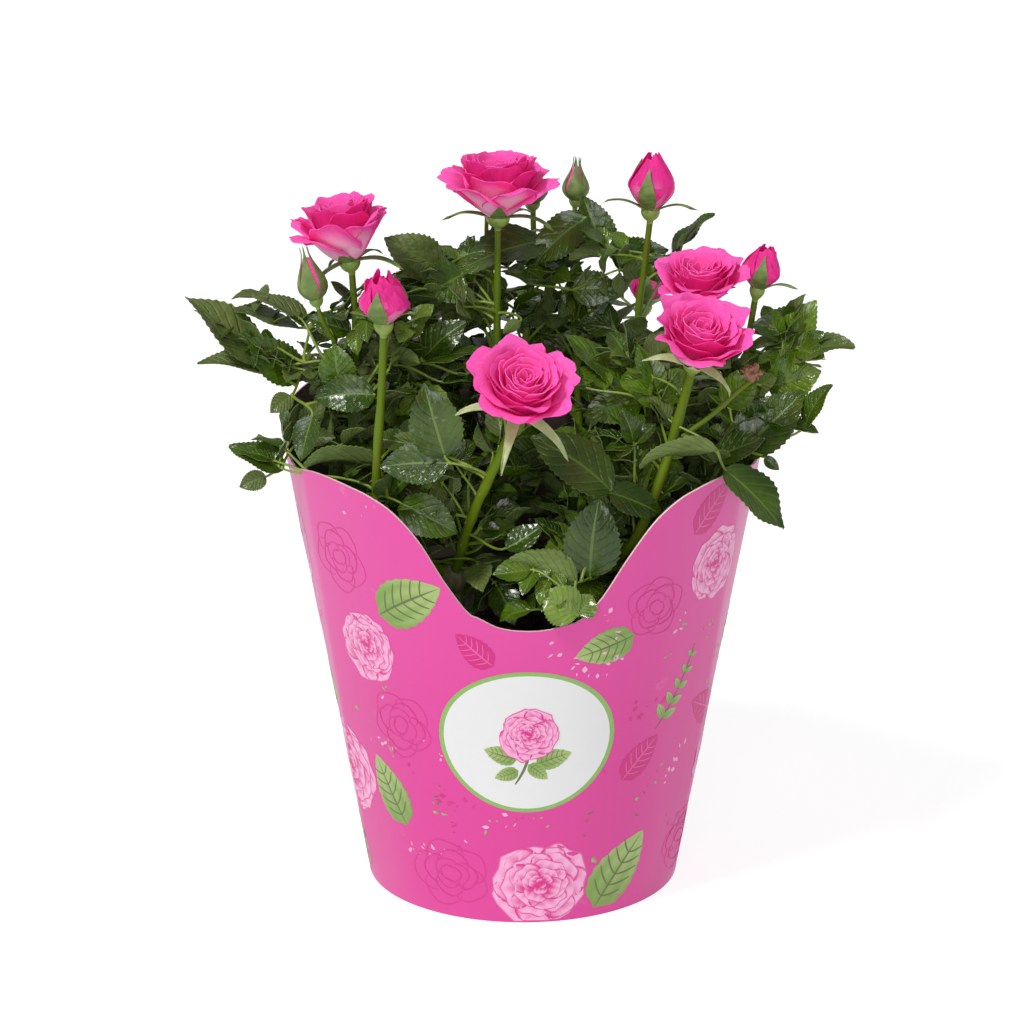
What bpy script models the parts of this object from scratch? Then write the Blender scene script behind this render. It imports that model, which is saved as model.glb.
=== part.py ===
"""Miniature rose bush in a printed card pot cover, full size, in metres, +Z up.

The origin is the middle of the cover's flat underside and the front is toward -Y.
Azimuths are in degrees from the front (-Y), positive toward +X.
The cover holds a nursery pot full of compost. Four short woody stems stand in the compost,
the canes grow from the stems' knuckles up to the roses and buds, and the leaf masses
are threaded on the canes, with a sliding gap cut round every cane.
"""

import math

import bmesh
import bpy
from mathutils import Matrix, Vector, noise

MM = 0.001
WELD = 0.02 * MM        # points this close are one
GAP = 0.3 * MM          # between pieces that touch
CANE_CLEARANCE = 0.4 * MM  # round a cane where it passes through a leaf mass
HEAD_CLEARANCE = 1 * MM    # between a leaf mass and a rose or bud
COVER_TRIM_TURN = 22       # degrees between the flats that a mass has against the card
WALL_CLEARANCE = 3 * MM    # between the card's outer face and the leaf masses inside it

# Pot cover: a cone of card with a scooped front and a higher back.
COVER_BASE_RADIUS = 55 * MM
COVER_TAPER = 0.182     # growth of the radius for each unit of height
CARD = 0.8 * MM
DIP_AZIMUTH = 1.5
# Rim height at an azimuth away from the middle of the dip, the same on both sides.
RIM_PROFILE = (
    (0, 113), (9, 114.5), (14, 117.5), (20, 127), (27, 143), (35, 153.8),
    (45, 158), (60, 159), (74, 156), (90, 163), (125, 169), (180, 172),
)
COVER_STEPS = 56
COVER_LEVELS = (0.3, 0.68, 1.0)  # rings of the wall, as shares of the rim's height

# Nursery pot and compost
POT_BASE_RADIUS = 45 * MM
POT_TOP_RADIUS = 62 * MM
POT_HEIGHT = 96 * MM
POT_WALL = 1.0 * MM
POT_RIM_WIDTH = 2.2 * MM  # how far the rim stands out past the wall's inner face
POT_RIM_HEIGHT = 9 * MM
COMPOST_DEPTH = 87 * MM
POT_STEPS = 40

# Woody stems: a short tapering cutting with a rounded knuckle that the canes leave.
STEM_BASE_RADIUS = 4.4 * MM
STEM_WAIST_RADIUS = 3.4 * MM
STEM_FLARE = 2.2 * MM
STEM_STEPS = 12
KNUCKLE_TURNS = (0, 45, 90, 130)  # degrees from its top to the points of a knuckle's outline
KNUCKLE_RADIUS = 6 * MM
KNUCKLE_HEIGHT = 24 * MM  # knuckle's centre above the compost
STEM_PLACES = ((-24, -18), (22, -20), (-18, 20), (20, 20))

CANE_SIDES_RESOLUTION = 1  # six-sided limbs
CANE_STEPS = 7
SHOOT_LEAN = 0.7        # share of a shoot's radius by which its slanting foot stands off the cane

# Canes: stem number, way points, radius at foot and tip, all in millimetres.
# The last way point is the foot of the hip that the cane carries.
CANES = {
    "cane_front": (1, ((-17, -49, 146), (-3, -72, 186)), 2.3, 1.7),
    "cane_front_left": (1, ((-47, -40, 135), (-49, -50, 162), (-46.2, -50, 207.8)), 2.2, 1.6),
    "cane_front_right": (2, ((38, -44, 136), (48, -46, 165), (55.5, -47, 194.5)), 2.3, 1.9),
    "cane_right": (2, ((37, -6, 150), (56, 3, 180), (60.7, 4, 201)), 2.1, 1.6),
    "cane_far_right": (2, ((56, -14, 128), (74, 2, 172), (79.7, 5, 206.2)), 1.9, 1.3),
    "cane_left": (3, ((-46, -2, 140), (-56.7, -8, 180), (-58.2, -10, 219.4)), 2.1, 1.4),
    "cane_centre": (3, ((-9, 10, 150), (-9.1, 10, 190), (-8.7, 10, 230)), 2.0, 1.3),
    "cane_back_left": (3, ((-32, 44, 134), (-36, 64, 156), (-33, 76, 176)), 2.0, 1.5),
    "cane_hidden": (4, ((-3, 28, 134), (2.4, 40, 196), (3.5, 42, 229)), 1.8, 1.2),
    "cane_middle": (4, ((20, 33, 150), (18, 43, 200), (18.3, 45, 229.5)), 1.8, 1.1),
    "cane_back_right": (4, ((45, 16, 141), (40, 20, 190), (43.8, 20, 230.2)), 2.0, 1.3),
    "cane_back": (4, ((34, 47, 130), (41, 62, 156), (44, 76, 182)), 1.9, 1.2),
}
# Side shoots: parent cane, height where they leave it, then as above.
SHOOTS = {
    "shoot_left": ("cane_left", 180, ((-63.8, -20, 197.3), (-69.1, -25, 211)), 1.1, 0.9),
    "shoot_centre": ("cane_centre", 205, ((-12.6, 28, 221), (-12.8, 38, 232)), 1.0, 0.9),
    "shoot_right": ("cane_front_right", 172, ((62, -46, 179), (71.5, -43, 187), (76, -41, 190)), 1.1, 0.9),
}

# Roses: cane, radius, height of the flower, tilt from upright, azimuth of the tilt.
ROSES = {
    "rose_left": ("cane_left", 18, 22, 10, -80),
    "rose_top": ("cane_centre", 20, 22, 2, 20),
    "rose_front": ("cane_front", 18, 21, 38, 14),
    "rose_right": ("cane_right", 16.5, 17, 17, -5),
    "rose_front_right": ("cane_front_right", 17.5, 19, 28, 20),
    "rose_back": ("cane_back_left", 17, 20, 30, -160),
}
# Buds: cane, radius, height of the bud, tilt, azimuth of the tilt.
BUDS = {
    "bud_tall": ("cane_back_right", 8, 21, 3, 60),
    "bud_half_open": ("cane_front_left", 8, 18, 4, 0),
    "bud_left": ("shoot_left", 4.8, 16, 12, -90),
    "bud_middle": ("cane_middle", 4.5, 13, 2, 90),
    "bud_right": ("cane_far_right", 6.5, 16, 12, 80),
    "bud_hidden": ("cane_hidden", 5.5, 14, 4, -60),
    "bud_centre": ("shoot_centre", 4.5, 12, 3, -90),
    "bud_back": ("cane_back", 6.5, 17, 16, 150),
}
HIP_RADIUS_SHARE = 0.19   # of the rose's radius
HIP_HEIGHT = 5.5 * MM
WIDEST_BUD_HIP = 3.4 * MM
ROSE_STEPS = 16
BUD_STEPS = 10

# Leaf masses: azimuth, distance from the axis, height, then radius outward, sideways and upright.
MASSES = {
    "leaves_front": (4, 51, 128, 19, 34, 24),
    "leaves_front_left": (-48, 55, 162, 21, 27, 25),
    "leaves_front_right": (46, 56, 161, 22, 26, 25),
    "leaves_left": (-88, 65, 174, 23, 28, 26),
    "leaves_right": (92, 68, 170, 25, 28, 25),
    "leaves_back_left": (-140, 62, 170, 23, 28, 27),
    "leaves_back_right": (140, 63, 172, 23, 28, 27),
    "leaves_back": (180, 66, 172, 22, 27, 28),
    "leaves_upper_front": (-5, 22, 176, 24, 27, 22),
    "leaves_upper_left": (-82, 42, 206, 23, 24, 19),
    "leaves_upper_right": (66, 44, 196, 22, 25, 17),
    "leaves_upper_back_left": (-152, 38, 207, 24, 25, 18),
    "leaves_upper_back_right": (152, 36, 211, 24, 25, 20),
    "leaves_middle": (0, 0, 144, 25, 26, 18),
}
# Thin sprays of leaves that reach out past the masses: root, tip, half width, half thickness.
SPRAYS = {
    "spray_left": ((-76, -12, 184), (-117, -13, 209), 14, 9),
    "spray_left_top": ((-66, 4, 197), (-102, -3, 208), 9, 5),
    "spray_left_low": ((-72, -20, 170), (-101, -34, 160), 10, 5),
    "spray_right": ((78, 0, 184), (116, -4, 193), 14, 8),
    "spray_right_top": ((70, 10, 192), (102, 6, 208), 9, 8),
    "spray_right_low": ((78, -12, 174), (106, -22, 172), 12, 8),
    "spray_over_rim": ((57, -37, 176), (91, -54, 145), 8, 1.8),
    "spray_top_right": ((38, 17, 206), (66, 34, 229), 6, 4),
    "spray_back": ((6, 66, 186), (12, 105, 186), 17, 7),
}
LUMP_SWELL = 0.30         # depth of the bumps, as a share of the radius
LUMP_WAVE = 1.9           # bumps across a radius

COLOURS = {
    "card": ((0.78, 0.07, 0.36), 0.42),
    "pot": ((0.03, 0.03, 0.03), 0.55),
    "compost": ((0.045, 0.028, 0.018), 0.95),
    "wood": ((0.16, 0.20, 0.07), 0.70),
    "cane": ((0.20, 0.36, 0.07), 0.45),
    "petal": ((0.80, 0.04, 0.30), 0.55),
    "bud": ((0.45, 0.15, 0.12), 0.50),
    "leaf": ((0.04, 0.13, 0.03), 0.35),
}


def material(slot):
    """Return the slot's Principled material, made on first use."""
    found = bpy.data.materials.get(slot)
    if found:
        return found
    colour, roughness = COLOURS[slot]
    made = bpy.data.materials.new(slot)
    made.use_nodes = True
    shader = made.node_tree.nodes["Principled BSDF"]
    shader.inputs["Base Color"].default_value = (*colour, 1)
    shader.inputs["Roughness"].default_value = roughness
    shader.inputs["Metallic"].default_value = 0
    return made


def add(name, data, slot, collection):
    """Link a new object that holds the data and shows the slot's material."""
    made = bpy.data.objects.new(name, data)
    collection.objects.link(made)
    data.materials.append(material(slot))
    return made


def mesh_from(bm, name):
    """Turn a bmesh into a smooth-shaded mesh."""
    bmesh.ops.recalc_face_normals(bm, faces=bm.faces)
    data = bpy.data.meshes.new(name)
    bm.to_mesh(data)
    bm.free()
    data.shade_smooth()
    data.set_sharp_from_angle(angle=math.radians(40))
    return data


def direction(azimuth):
    """Level unit vector at an azimuth in degrees from the front."""
    turn = math.radians(azimuth)
    return Vector((math.sin(turn), -math.cos(turn), 0))


def millimetres(point):
    """A point in metres from its coordinates in millimetres."""
    return Vector(point) * MM


def rim_height(azimuth):
    """Height of the cover's cut edge at an azimuth, on a smooth curve through RIM_PROFILE."""
    away = abs((azimuth - DIP_AZIMUTH + 180) % 360 - 180)
    mirrored = [(-angle, height) for angle, height in RIM_PROFILE[2:0:-1]]
    past_back = [(360 - angle, height) for angle, height in RIM_PROFILE[-2:-4:-1]]
    knots = mirrored + list(RIM_PROFILE) + past_back
    index = max(i for i in range(1, len(knots) - 2) if knots[i][0] <= away)
    (x0, y0), (x1, y1), (x2, y2), (x3, y3) = knots[index - 1:index + 3]
    slope_in = (y2 - y0) / (x2 - x0)
    slope_out = (y3 - y1) / (x3 - x1)
    width = x2 - x1
    t = (away - x1) / width
    height = ((2 * t**3 - 3 * t**2 + 1) * y1 + (t**3 - 2 * t**2 + t) * width * slope_in
              + (3 * t**2 - 2 * t**3) * y2 + (t**3 - t**2) * width * slope_out)
    return height * MM


def cover_radius(height):
    """Outer radius of the pot cover at a height."""
    return COVER_BASE_RADIUS + COVER_TAPER * height


def turned(name, profile, steps, slot, collection):
    """Solid turned about Z from a profile of (radius, height) that runs top to bottom. Returns the object."""
    bm = bmesh.new()
    points = [bm.verts.new((radius, 0, height)) for radius, height in profile]
    for upper, lower in zip(points, points[1:]):
        bm.edges.new((upper, lower))
    data = bpy.data.meshes.new(name)
    bm.to_mesh(data)
    bm.free()
    data.shade_smooth()
    made = add(name, data, slot, collection)
    screw = made.modifiers.new("turn", "SCREW")
    screw.steps = screw.render_steps = steps
    screw.use_merge_vertices = True
    screw.merge_threshold = WELD
    screw.use_smooth_shade = True
    return made


def add_cover(collection):
    """Card cover: an open cone on a disc, given the card's thickness inward."""
    bm = bmesh.new()
    bmesh.ops.create_circle(bm, cap_ends=True, radius=COVER_BASE_RADIUS, segments=COVER_STEPS)
    edges = bm.edges[:]
    for share in COVER_LEVELS:
        extruded = bmesh.ops.extrude_edge_only(bm, edges=edges)["geom"]
        edges = [item for item in extruded if isinstance(item, bmesh.types.BMEdge)]
        for vert in (item for item in extruded if isinstance(item, bmesh.types.BMVert)):
            azimuth = math.degrees(math.atan2(vert.co.x, -vert.co.y))
            height = rim_height(azimuth) * share
            vert.co = direction(azimuth) * cover_radius(height) + Vector((0, 0, height))
    made = add("card_cover", mesh_from(bm, "card_cover"), "card", collection)
    wall = made.modifiers.new("card thickness", "SOLIDIFY")
    wall.thickness = CARD
    wall.offset = -1
    wall.use_even_offset = True


def pot_inner_radius(height):
    """Radius of the nursery pot's inner face at a height above the pot's foot."""
    foot = POT_BASE_RADIUS - POT_WALL
    top = POT_TOP_RADIUS - POT_RIM_WIDTH
    return foot + (top - foot) * (height - POT_WALL) / (POT_HEIGHT - POT_WALL)


def add_pot(collection):
    """Nursery pot: a turned shell with a deeper rim, standing in the cover."""
    floor = CARD + GAP
    top = floor + POT_HEIGHT
    rim_foot = POT_HEIGHT - POT_RIM_HEIGHT
    profile = (
        (0, floor + POT_WALL),
        (pot_inner_radius(POT_WALL), floor + POT_WALL),
        (pot_inner_radius(POT_HEIGHT), top),
        (POT_TOP_RADIUS, top),
        (POT_TOP_RADIUS, floor + rim_foot),
        (pot_inner_radius(rim_foot) + POT_WALL, floor + rim_foot),
        (POT_BASE_RADIUS, floor),
        (0, floor),
    )
    turned("nursery_pot", profile, POT_STEPS, "pot", collection)


def add_compost(collection):
    """Compost: a plug with a level top that fills the pot. Returns its top's height."""
    foot = CARD + GAP + POT_WALL + GAP
    top = foot + COMPOST_DEPTH
    top_radius = pot_inner_radius(POT_WALL + GAP + COMPOST_DEPTH) - GAP
    foot_radius = pot_inner_radius(POT_WALL + GAP) - GAP
    profile = ((0, top), (top_radius, top), (foot_radius, foot), (0, foot))
    turned("compost", profile, POT_STEPS, "compost", collection)
    return top


def add_stems(collection, ground):
    """Woody stems with a flat cut foot on the compost. Returns each knuckle's centre."""
    centres = []
    for number, (x, y) in enumerate(STEM_PLACES, start=1):
        knuckle = [
            (KNUCKLE_RADIUS * math.sin(turn), KNUCKLE_HEIGHT + KNUCKLE_RADIUS * math.cos(turn))
            for turn in map(math.radians, KNUCKLE_TURNS)
        ]
        foot = [
            (STEM_WAIST_RADIUS, KNUCKLE_HEIGHT * 0.5),
            (STEM_BASE_RADIUS, STEM_FLARE * 1.5),
            (STEM_BASE_RADIUS + STEM_FLARE, GAP),
            (0, GAP),
        ]
        stem = turned(f"stem_{number}", knuckle + foot, STEM_STEPS, "wood", collection)
        stem.location = (x * MM, y * MM, ground)
        centres.append(Vector((x * MM, y * MM, ground + KNUCKLE_HEIGHT)))
    return centres


def smooth_path(knots, steps, heading):
    """Points along a smooth curve through the knots that ends along a heading."""
    guard_in = knots[0] * 2 - knots[1]
    guard_out = knots[-2] + heading * (knots[-1] - knots[-2]).length * 2
    line = [guard_in, *knots, guard_out]
    points = []
    spans = len(knots) - 1
    for step in range(steps + 1):
        place = min(step / steps * spans, spans - 1e-9)
        index = int(place)
        t = place - index
        p0, p1, p2, p3 = line[index:index + 4]
        points.append(0.5 * (2 * p1 + (p2 - p0) * t + (2 * p0 - 5 * p1 + 4 * p2 - p3) * t**2
                             + (3 * p1 - p0 - 3 * p2 + p3) * t**3))
    return points


def limb_curve(name, points, foot, tip):
    """Round limb along the points, tapering from one radius to the other."""
    data = bpy.data.curves.new(name, "CURVE")
    data.dimensions = "3D"
    data.bevel_depth = 1
    data.bevel_resolution = CANE_SIDES_RESOLUTION
    data.use_fill_caps = True
    data.twist_mode = "MINIMUM"
    spline = data.splines.new("POLY")
    spline.points.add(len(points) - 1)
    for index, point in enumerate(points):
        spline.points[index].co = (*point, 1)
        spline.points[index].radius = foot + (tip - foot) * index / (len(points) - 1)
    return data


def limb(name, points, foot, tip, collection, cutters):
    """Add a limb and the wider cutter that clears a way for it. Returns the cutter."""
    add(name, limb_curve(name, points, foot, tip), "cane", collection)
    longer = points.copy()
    longer[0] = points[0] - (points[1] - points[0]).normalized() * CANE_CLEARANCE
    longer[-1] = points[-1] + (points[-1] - points[-2]).normalized() * CANE_CLEARANCE
    wide = limb_curve(f"{name}_way", longer, foot + CANE_CLEARANCE, tip + CANE_CLEARANCE)
    guide = bpy.data.objects.new(f"{name}_way", wide)
    cutters.objects.link(guide)
    bpy.context.view_layer.update()
    evaluated = guide.evaluated_get(bpy.context.evaluated_depsgraph_get())
    solid = bpy.data.meshes.new_from_object(evaluated)
    bm = bmesh.new()
    bm.from_mesh(solid)
    bmesh.ops.remove_doubles(bm, verts=bm.verts, dist=WELD)
    bmesh.ops.recalc_face_normals(bm, faces=bm.faces)
    bm.to_mesh(solid)
    bm.free()
    cutter = bpy.data.objects.new(f"{name}_cutter", solid)
    cutter.matrix_world = guide.matrix_world
    cutter.hide_render = True
    cutter.display_type = "WIRE"
    cutters.objects.link(cutter)
    bpy.data.objects.remove(guide)
    return cutter


def add_canes(collection, cutters, knuckles, headings):
    """Canes from the knuckles and side shoots from the canes. Returns their routes and cutters."""
    routes, ways = {}, []
    for name, (stem, way_points, foot, tip) in CANES.items():
        centre = knuckles[stem - 1]
        knots = [millimetres(point) for point in way_points]
        start = centre + (knots[0] - centre).normalized() * (KNUCKLE_RADIUS + GAP)
        routes[name] = smooth_path([start, *knots], CANE_STEPS, headings[name])
        ways.append(limb(name, routes[name], foot * MM, tip * MM, collection, cutters))
    for name, (parent, height, way_points, foot, tip) in SHOOTS.items():
        line = routes[parent]
        _, _, parent_foot, parent_tip = CANES[parent]
        upper = next(i for i, point in enumerate(line) if point.z > height * MM)
        share = (height * MM - line[upper - 1].z) / (line[upper].z - line[upper - 1].z)
        joint = line[upper - 1].lerp(line[upper], share)
        thickness = parent_foot + (parent_tip - parent_foot) * (upper - 1 + share) / CANE_STEPS
        knots = [millimetres(point) for point in way_points]
        level = ((knots[0] - joint) * Vector((1, 1, 0))).normalized()
        start = joint + level * ((thickness + foot * SHOOT_LEAN) * MM + GAP)
        heading = headings.get(name, (knots[-1] - knots[-2]).normalized())
        routes[name] = smooth_path([start, *knots], CANE_STEPS, heading)
        ways.append(limb(name, routes[name], foot * MM, tip * MM, collection, cutters))
    return routes, ways


def head_axis(tilt, azimuth):
    """Unit vector that leans from upright by a tilt toward an azimuth, both in degrees."""
    lean = math.radians(tilt)
    return Vector((0, 0, math.cos(lean))) + direction(azimuth) * math.sin(lean)


def flower_profile(radius, height):
    """Hip, cup, spreading petals and domed heart of an open rose, listed top to bottom."""
    hip = radius * HIP_RADIUS_SHARE
    foot = HIP_HEIGHT
    return (
        (0, foot + height * 0.93),
        (radius * 0.30, foot + height * 1.0),
        (radius * 0.62, foot + height * 0.90),
        (radius * 0.72, foot + height * 0.72),
        (radius * 0.97, foot + height * 0.70),
        (radius * 1.0, foot + height * 0.60),
        (radius * 0.74, foot + height * 0.26),
        (radius * 0.42, foot + height * 0.05),
        (hip * 1.1, foot),
        (hip, foot * 0.55),
        (hip * 0.55, 0),
        (0, 0),
    )


def bud_profile(radius, height):
    """Hip and pointed bud, listed top to bottom."""
    hip = min(radius * 0.62, WIDEST_BUD_HIP)
    foot = HIP_HEIGHT
    return (
        (0, foot + height),
        (radius * 0.42, foot + height * 0.86),
        (radius * 0.90, foot + height * 0.52),
        (radius, foot + height * 0.30),
        (radius * 0.74, foot + height * 0.08),
        (hip, foot * 0.95),
        (hip * 1.05, foot * 0.5),
        (hip * 0.6, 0),
        (0, 0),
    )


def add_heads(collection, routes, table, profile, steps, slot):
    """Turned heads that stand on the canes' tips. Returns a ball round each one."""
    balls = []
    for name, (cane, radius, height, tilt, azimuth) in table.items():
        head = turned(name, profile(radius * MM, height * MM), steps, slot, collection)
        axis = head_axis(tilt, azimuth)
        end = routes[cane][-1]
        bend = axis.angle(end - routes[cane][-2])
        tip = (CANES.get(cane) or SHOOTS[cane])[-1] * MM
        foot = end + axis * (GAP + tip * math.sin(bend))
        head.matrix_world = (Matrix.Translation(foot)
                             @ Vector((0, 0, 1)).rotation_difference(axis).to_matrix().to_4x4())
        balls.append((foot + axis * (HIP_HEIGHT + height * MM * 0.5), radius * MM))
    return balls


class Lump:
    """One leaf mass as an ellipsoid: its centre, its own axes and their radii."""

    def __init__(self, name, centre, frame, radii):
        self.name = name
        self.centre = centre
        self.frame = frame
        self.radii = Vector(radii)

    def extent(self, heading):
        """How far the ellipsoid extends from its centre in the direction of a unit heading."""
        local = self.frame.transposed() @ heading
        return math.sqrt(sum((local[i] * self.radii[i])**2 for i in range(3)))

    def point(self, unit):
        """Place in space of a point of the unit sphere, with the lump's own bumps."""
        seed = Vector((sum(map(ord, self.name)) % 97, len(self.name), 0))
        bump = noise.noise(unit * LUMP_WAVE + seed)
        stretched = Vector(unit[i] * self.radii[i] for i in range(3))
        return self.centre + self.frame @ (stretched * (1 + LUMP_SWELL * bump))


def leaf_lumps():
    """All the masses and sprays as lumps; each spray starts inside the mass that carries it."""
    lumps = {}
    for name, (azimuth, distance, height, outward, sideways, upright) in MASSES.items():
        out = direction(azimuth)
        side = Vector((0, 0, 1)).cross(out)
        frame = Matrix((out, side, Vector((0, 0, 1)))).transposed()
        centre = out * distance * MM + Vector((0, 0, height * MM))
        lumps[name] = Lump(name, centre, frame, (outward * MM, sideways * MM, upright * MM))
    for name, (root, tip, half_width, half_thickness) in SPRAYS.items():
        root, tip = millimetres(root), millimetres(tip)
        heading = (tip - root).normalized()
        side = heading.cross(Vector((0, 0, 1))).normalized()
        frame = Matrix((heading, side, side.cross(heading))).transposed()
        half = (tip - root).length / 2
        lumps[name] = Lump(name, root + heading * half, frame,
                           (half, half_width * MM, half_thickness * MM))
    return lumps


def slice_off(bm, place, normal):
    """Cut away what lies past a plane and close the cut."""
    geometry = bm.verts[:] + bm.edges[:] + bm.faces[:]
    bmesh.ops.bisect_plane(bm, geom=geometry, dist=WELD, plane_co=place, plane_no=normal,
                           clear_outer=True)
    rim = [edge for edge in bm.edges if edge.is_boundary]
    if rim:
        bmesh.ops.holes_fill(bm, edges=rim, sides=0)


def near(one, other):
    """True where two objects' boxes in space come within a millimetre of each other."""
    boxes = []
    for item in (one, other):
        corners = [item.matrix_world @ Vector(corner) for corner in item.bound_box]
        boxes.append([(min(c[i] for c in corners), max(c[i] for c in corners)) for i in range(3)])
    return all(a[0] < b[1] + MM and b[0] < a[1] + MM for a, b in zip(*boxes))


def add_leaves(collection, ways, balls):
    """Leaf masses, parted from each other and from the heads by planes, and cut round the canes."""
    lumps = leaf_lumps()
    for name, lump in lumps.items():
        bm = bmesh.new()
        bmesh.ops.create_icosphere(bm, subdivisions=2, radius=1)
        for vert in bm.verts:
            vert.co = lump.point(vert.co.normalized())
        for other_name, other in lumps.items():
            if other_name == name:
                continue
            apart = other.centre - lump.centre
            heading = apart.normalized()
            mine, theirs = lump.extent(heading), other.extent(heading)
            clear = apart.length - mine - theirs
            border = mine + clear / 2 if clear > 0 else apart.length * mine / (mine + theirs)
            slice_off(bm, lump.centre + heading * (border - GAP * 0.8), heading)
        for centre, radius in balls:
            apart = centre - lump.centre
            heading = apart.normalized()
            slice_off(bm, centre - heading * (radius + HEAD_CLEARANCE), heading)
        if name in MASSES:
            keep_inside_cover(bm, lump)
        bmesh.ops.triangulate(bm, faces=bm.faces)
        made = add(name, mesh_from(bm, name), "leaf", collection)
        bpy.context.view_layer.update()
        for way in ways:
            if near(made, way):
                cut = made.modifiers.new(way.name, "BOOLEAN")
                cut.operation = "DIFFERENCE"
                cut.solver = "EXACT"
                cut.object = way


def keep_inside_cover(bm, lump):
    """Trim a mass that dips below the rim to the space inside the card."""
    azimuth = math.degrees(math.atan2(lump.centre.x, -lump.centre.y))
    height = lump.centre.z
    if rim_height(azimuth) < height - lump.radii[2]:
        return
    for turn in (-COVER_TRIM_TURN, 0, COVER_TRIM_TURN):
        outward = direction(azimuth + turn)
        wall = outward * (cover_radius(height) - WALL_CLEARANCE) + Vector((0, 0, height))
        slice_off(bm, wall, outward - Vector((0, 0, COVER_TAPER)))


def main():
    """Clear the scene and build the plant and its pot."""
    for item in list(bpy.data.objects):
        bpy.data.objects.remove(item, do_unlink=True)
    bush = bpy.data.collections.new("rose_bush")
    cutters = bpy.data.collections.new("cutters")
    bpy.context.scene.collection.children.link(bush)
    bpy.context.scene.collection.children.link(cutters)
    add_cover(bush)
    add_pot(bush)
    ground = add_compost(bush)
    knuckles = add_stems(bush, ground)
    headings = {cane: head_axis(tilt, azimuth)
                for cane, _, _, tilt, azimuth in (*ROSES.values(), *BUDS.values())}
    routes, ways = add_canes(bush, cutters, knuckles, headings)
    balls = add_heads(bush, routes, ROSES, flower_profile, ROSE_STEPS, "petal")
    balls += add_heads(bush, routes, BUDS, bud_profile, BUD_STEPS, "bud")
    add_leaves(bush, ways, balls)


main()
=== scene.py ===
"""Looks of a potted miniature rose bush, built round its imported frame."""

import logging
import math
from collections.abc import Callable, Sequence
from dataclasses import dataclass, field
from enum import Enum
from random import Random

import bmesh
import bpy
import numpy as np
from mathutils import Matrix, Vector, noise
from mathutils.bvhtree import BVHTree
from mathutils.kdtree import KDTree


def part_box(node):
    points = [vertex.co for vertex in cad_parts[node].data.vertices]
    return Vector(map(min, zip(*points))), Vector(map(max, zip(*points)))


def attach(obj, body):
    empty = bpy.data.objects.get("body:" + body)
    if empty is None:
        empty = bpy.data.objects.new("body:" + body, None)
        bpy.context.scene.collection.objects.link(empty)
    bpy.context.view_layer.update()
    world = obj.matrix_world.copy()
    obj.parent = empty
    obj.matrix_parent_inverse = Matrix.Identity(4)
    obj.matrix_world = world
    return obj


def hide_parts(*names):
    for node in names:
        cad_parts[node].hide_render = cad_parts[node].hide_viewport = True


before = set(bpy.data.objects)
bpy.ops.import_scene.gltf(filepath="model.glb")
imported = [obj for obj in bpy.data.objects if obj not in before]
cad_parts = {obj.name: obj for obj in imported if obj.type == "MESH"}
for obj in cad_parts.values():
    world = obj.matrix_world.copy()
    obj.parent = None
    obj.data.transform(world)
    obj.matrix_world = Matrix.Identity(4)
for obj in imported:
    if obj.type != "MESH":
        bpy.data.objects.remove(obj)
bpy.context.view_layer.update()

logging.basicConfig(level=logging.INFO, format="%(message)s")
log = logging.getLogger("rose_bush")

MM = 0.001
GOLDEN = 2.399963  # the turn from one petal to the next
BODY = "root"
UP = Vector((0, 0, 1))
ORIGIN = Vector((0, 0, 0))
SEED = 7

Pair = tuple[float, float]
Triple = tuple[float, float, float]
Colour = Triple
Cloud = np.ndarray  # points as rows of x, y, z
Route = Sequence[Vector]
Mesh = bpy.types.Mesh
Shape = bmesh.types.BMesh


# ---- shader maths


def operation(name: str, swapped: bool = False) -> Callable[..., "Sock"]:
    """A method that adds one Math node.

    Args:
        name: The node's operation.
        swapped: Whether the other value comes first, as in a reflected operator.

    Returns:
        The method.
    """

    def method(self: "Sock", *others: "Sock | float") -> "Sock":
        """Add the node."""
        values = (*others, self) if swapped else (self, *others)
        return self.graph.node("ShaderNodeMath", {"operation": name}, dict(enumerate(values)))

    return method


class Sock:
    """A node's output that Python's operators work on."""

    def __init__(self, graph: "Graph", socket: bpy.types.NodeSocket) -> None:
        """Wrap one output socket."""
        self.graph = graph
        self.socket = socket

    __add__ = operation("ADD")
    __radd__ = operation("ADD", True)
    __sub__ = operation("SUBTRACT")
    __rsub__ = operation("SUBTRACT", True)
    __mul__ = operation("MULTIPLY")
    __rmul__ = operation("MULTIPLY", True)
    __pow__ = operation("POWER")
    __abs__ = operation("ABSOLUTE")
    wave = operation("SINE")

    def between(self, low: float, high: float) -> "Sock":
        """Smooth step that goes from 0 at low to 1 at high."""
        settings = {"interpolation_type": "SMOOTHSTEP"}
        return self.graph.node("ShaderNodeMapRange", settings, {0: self, 1: low, 2: high})


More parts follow.
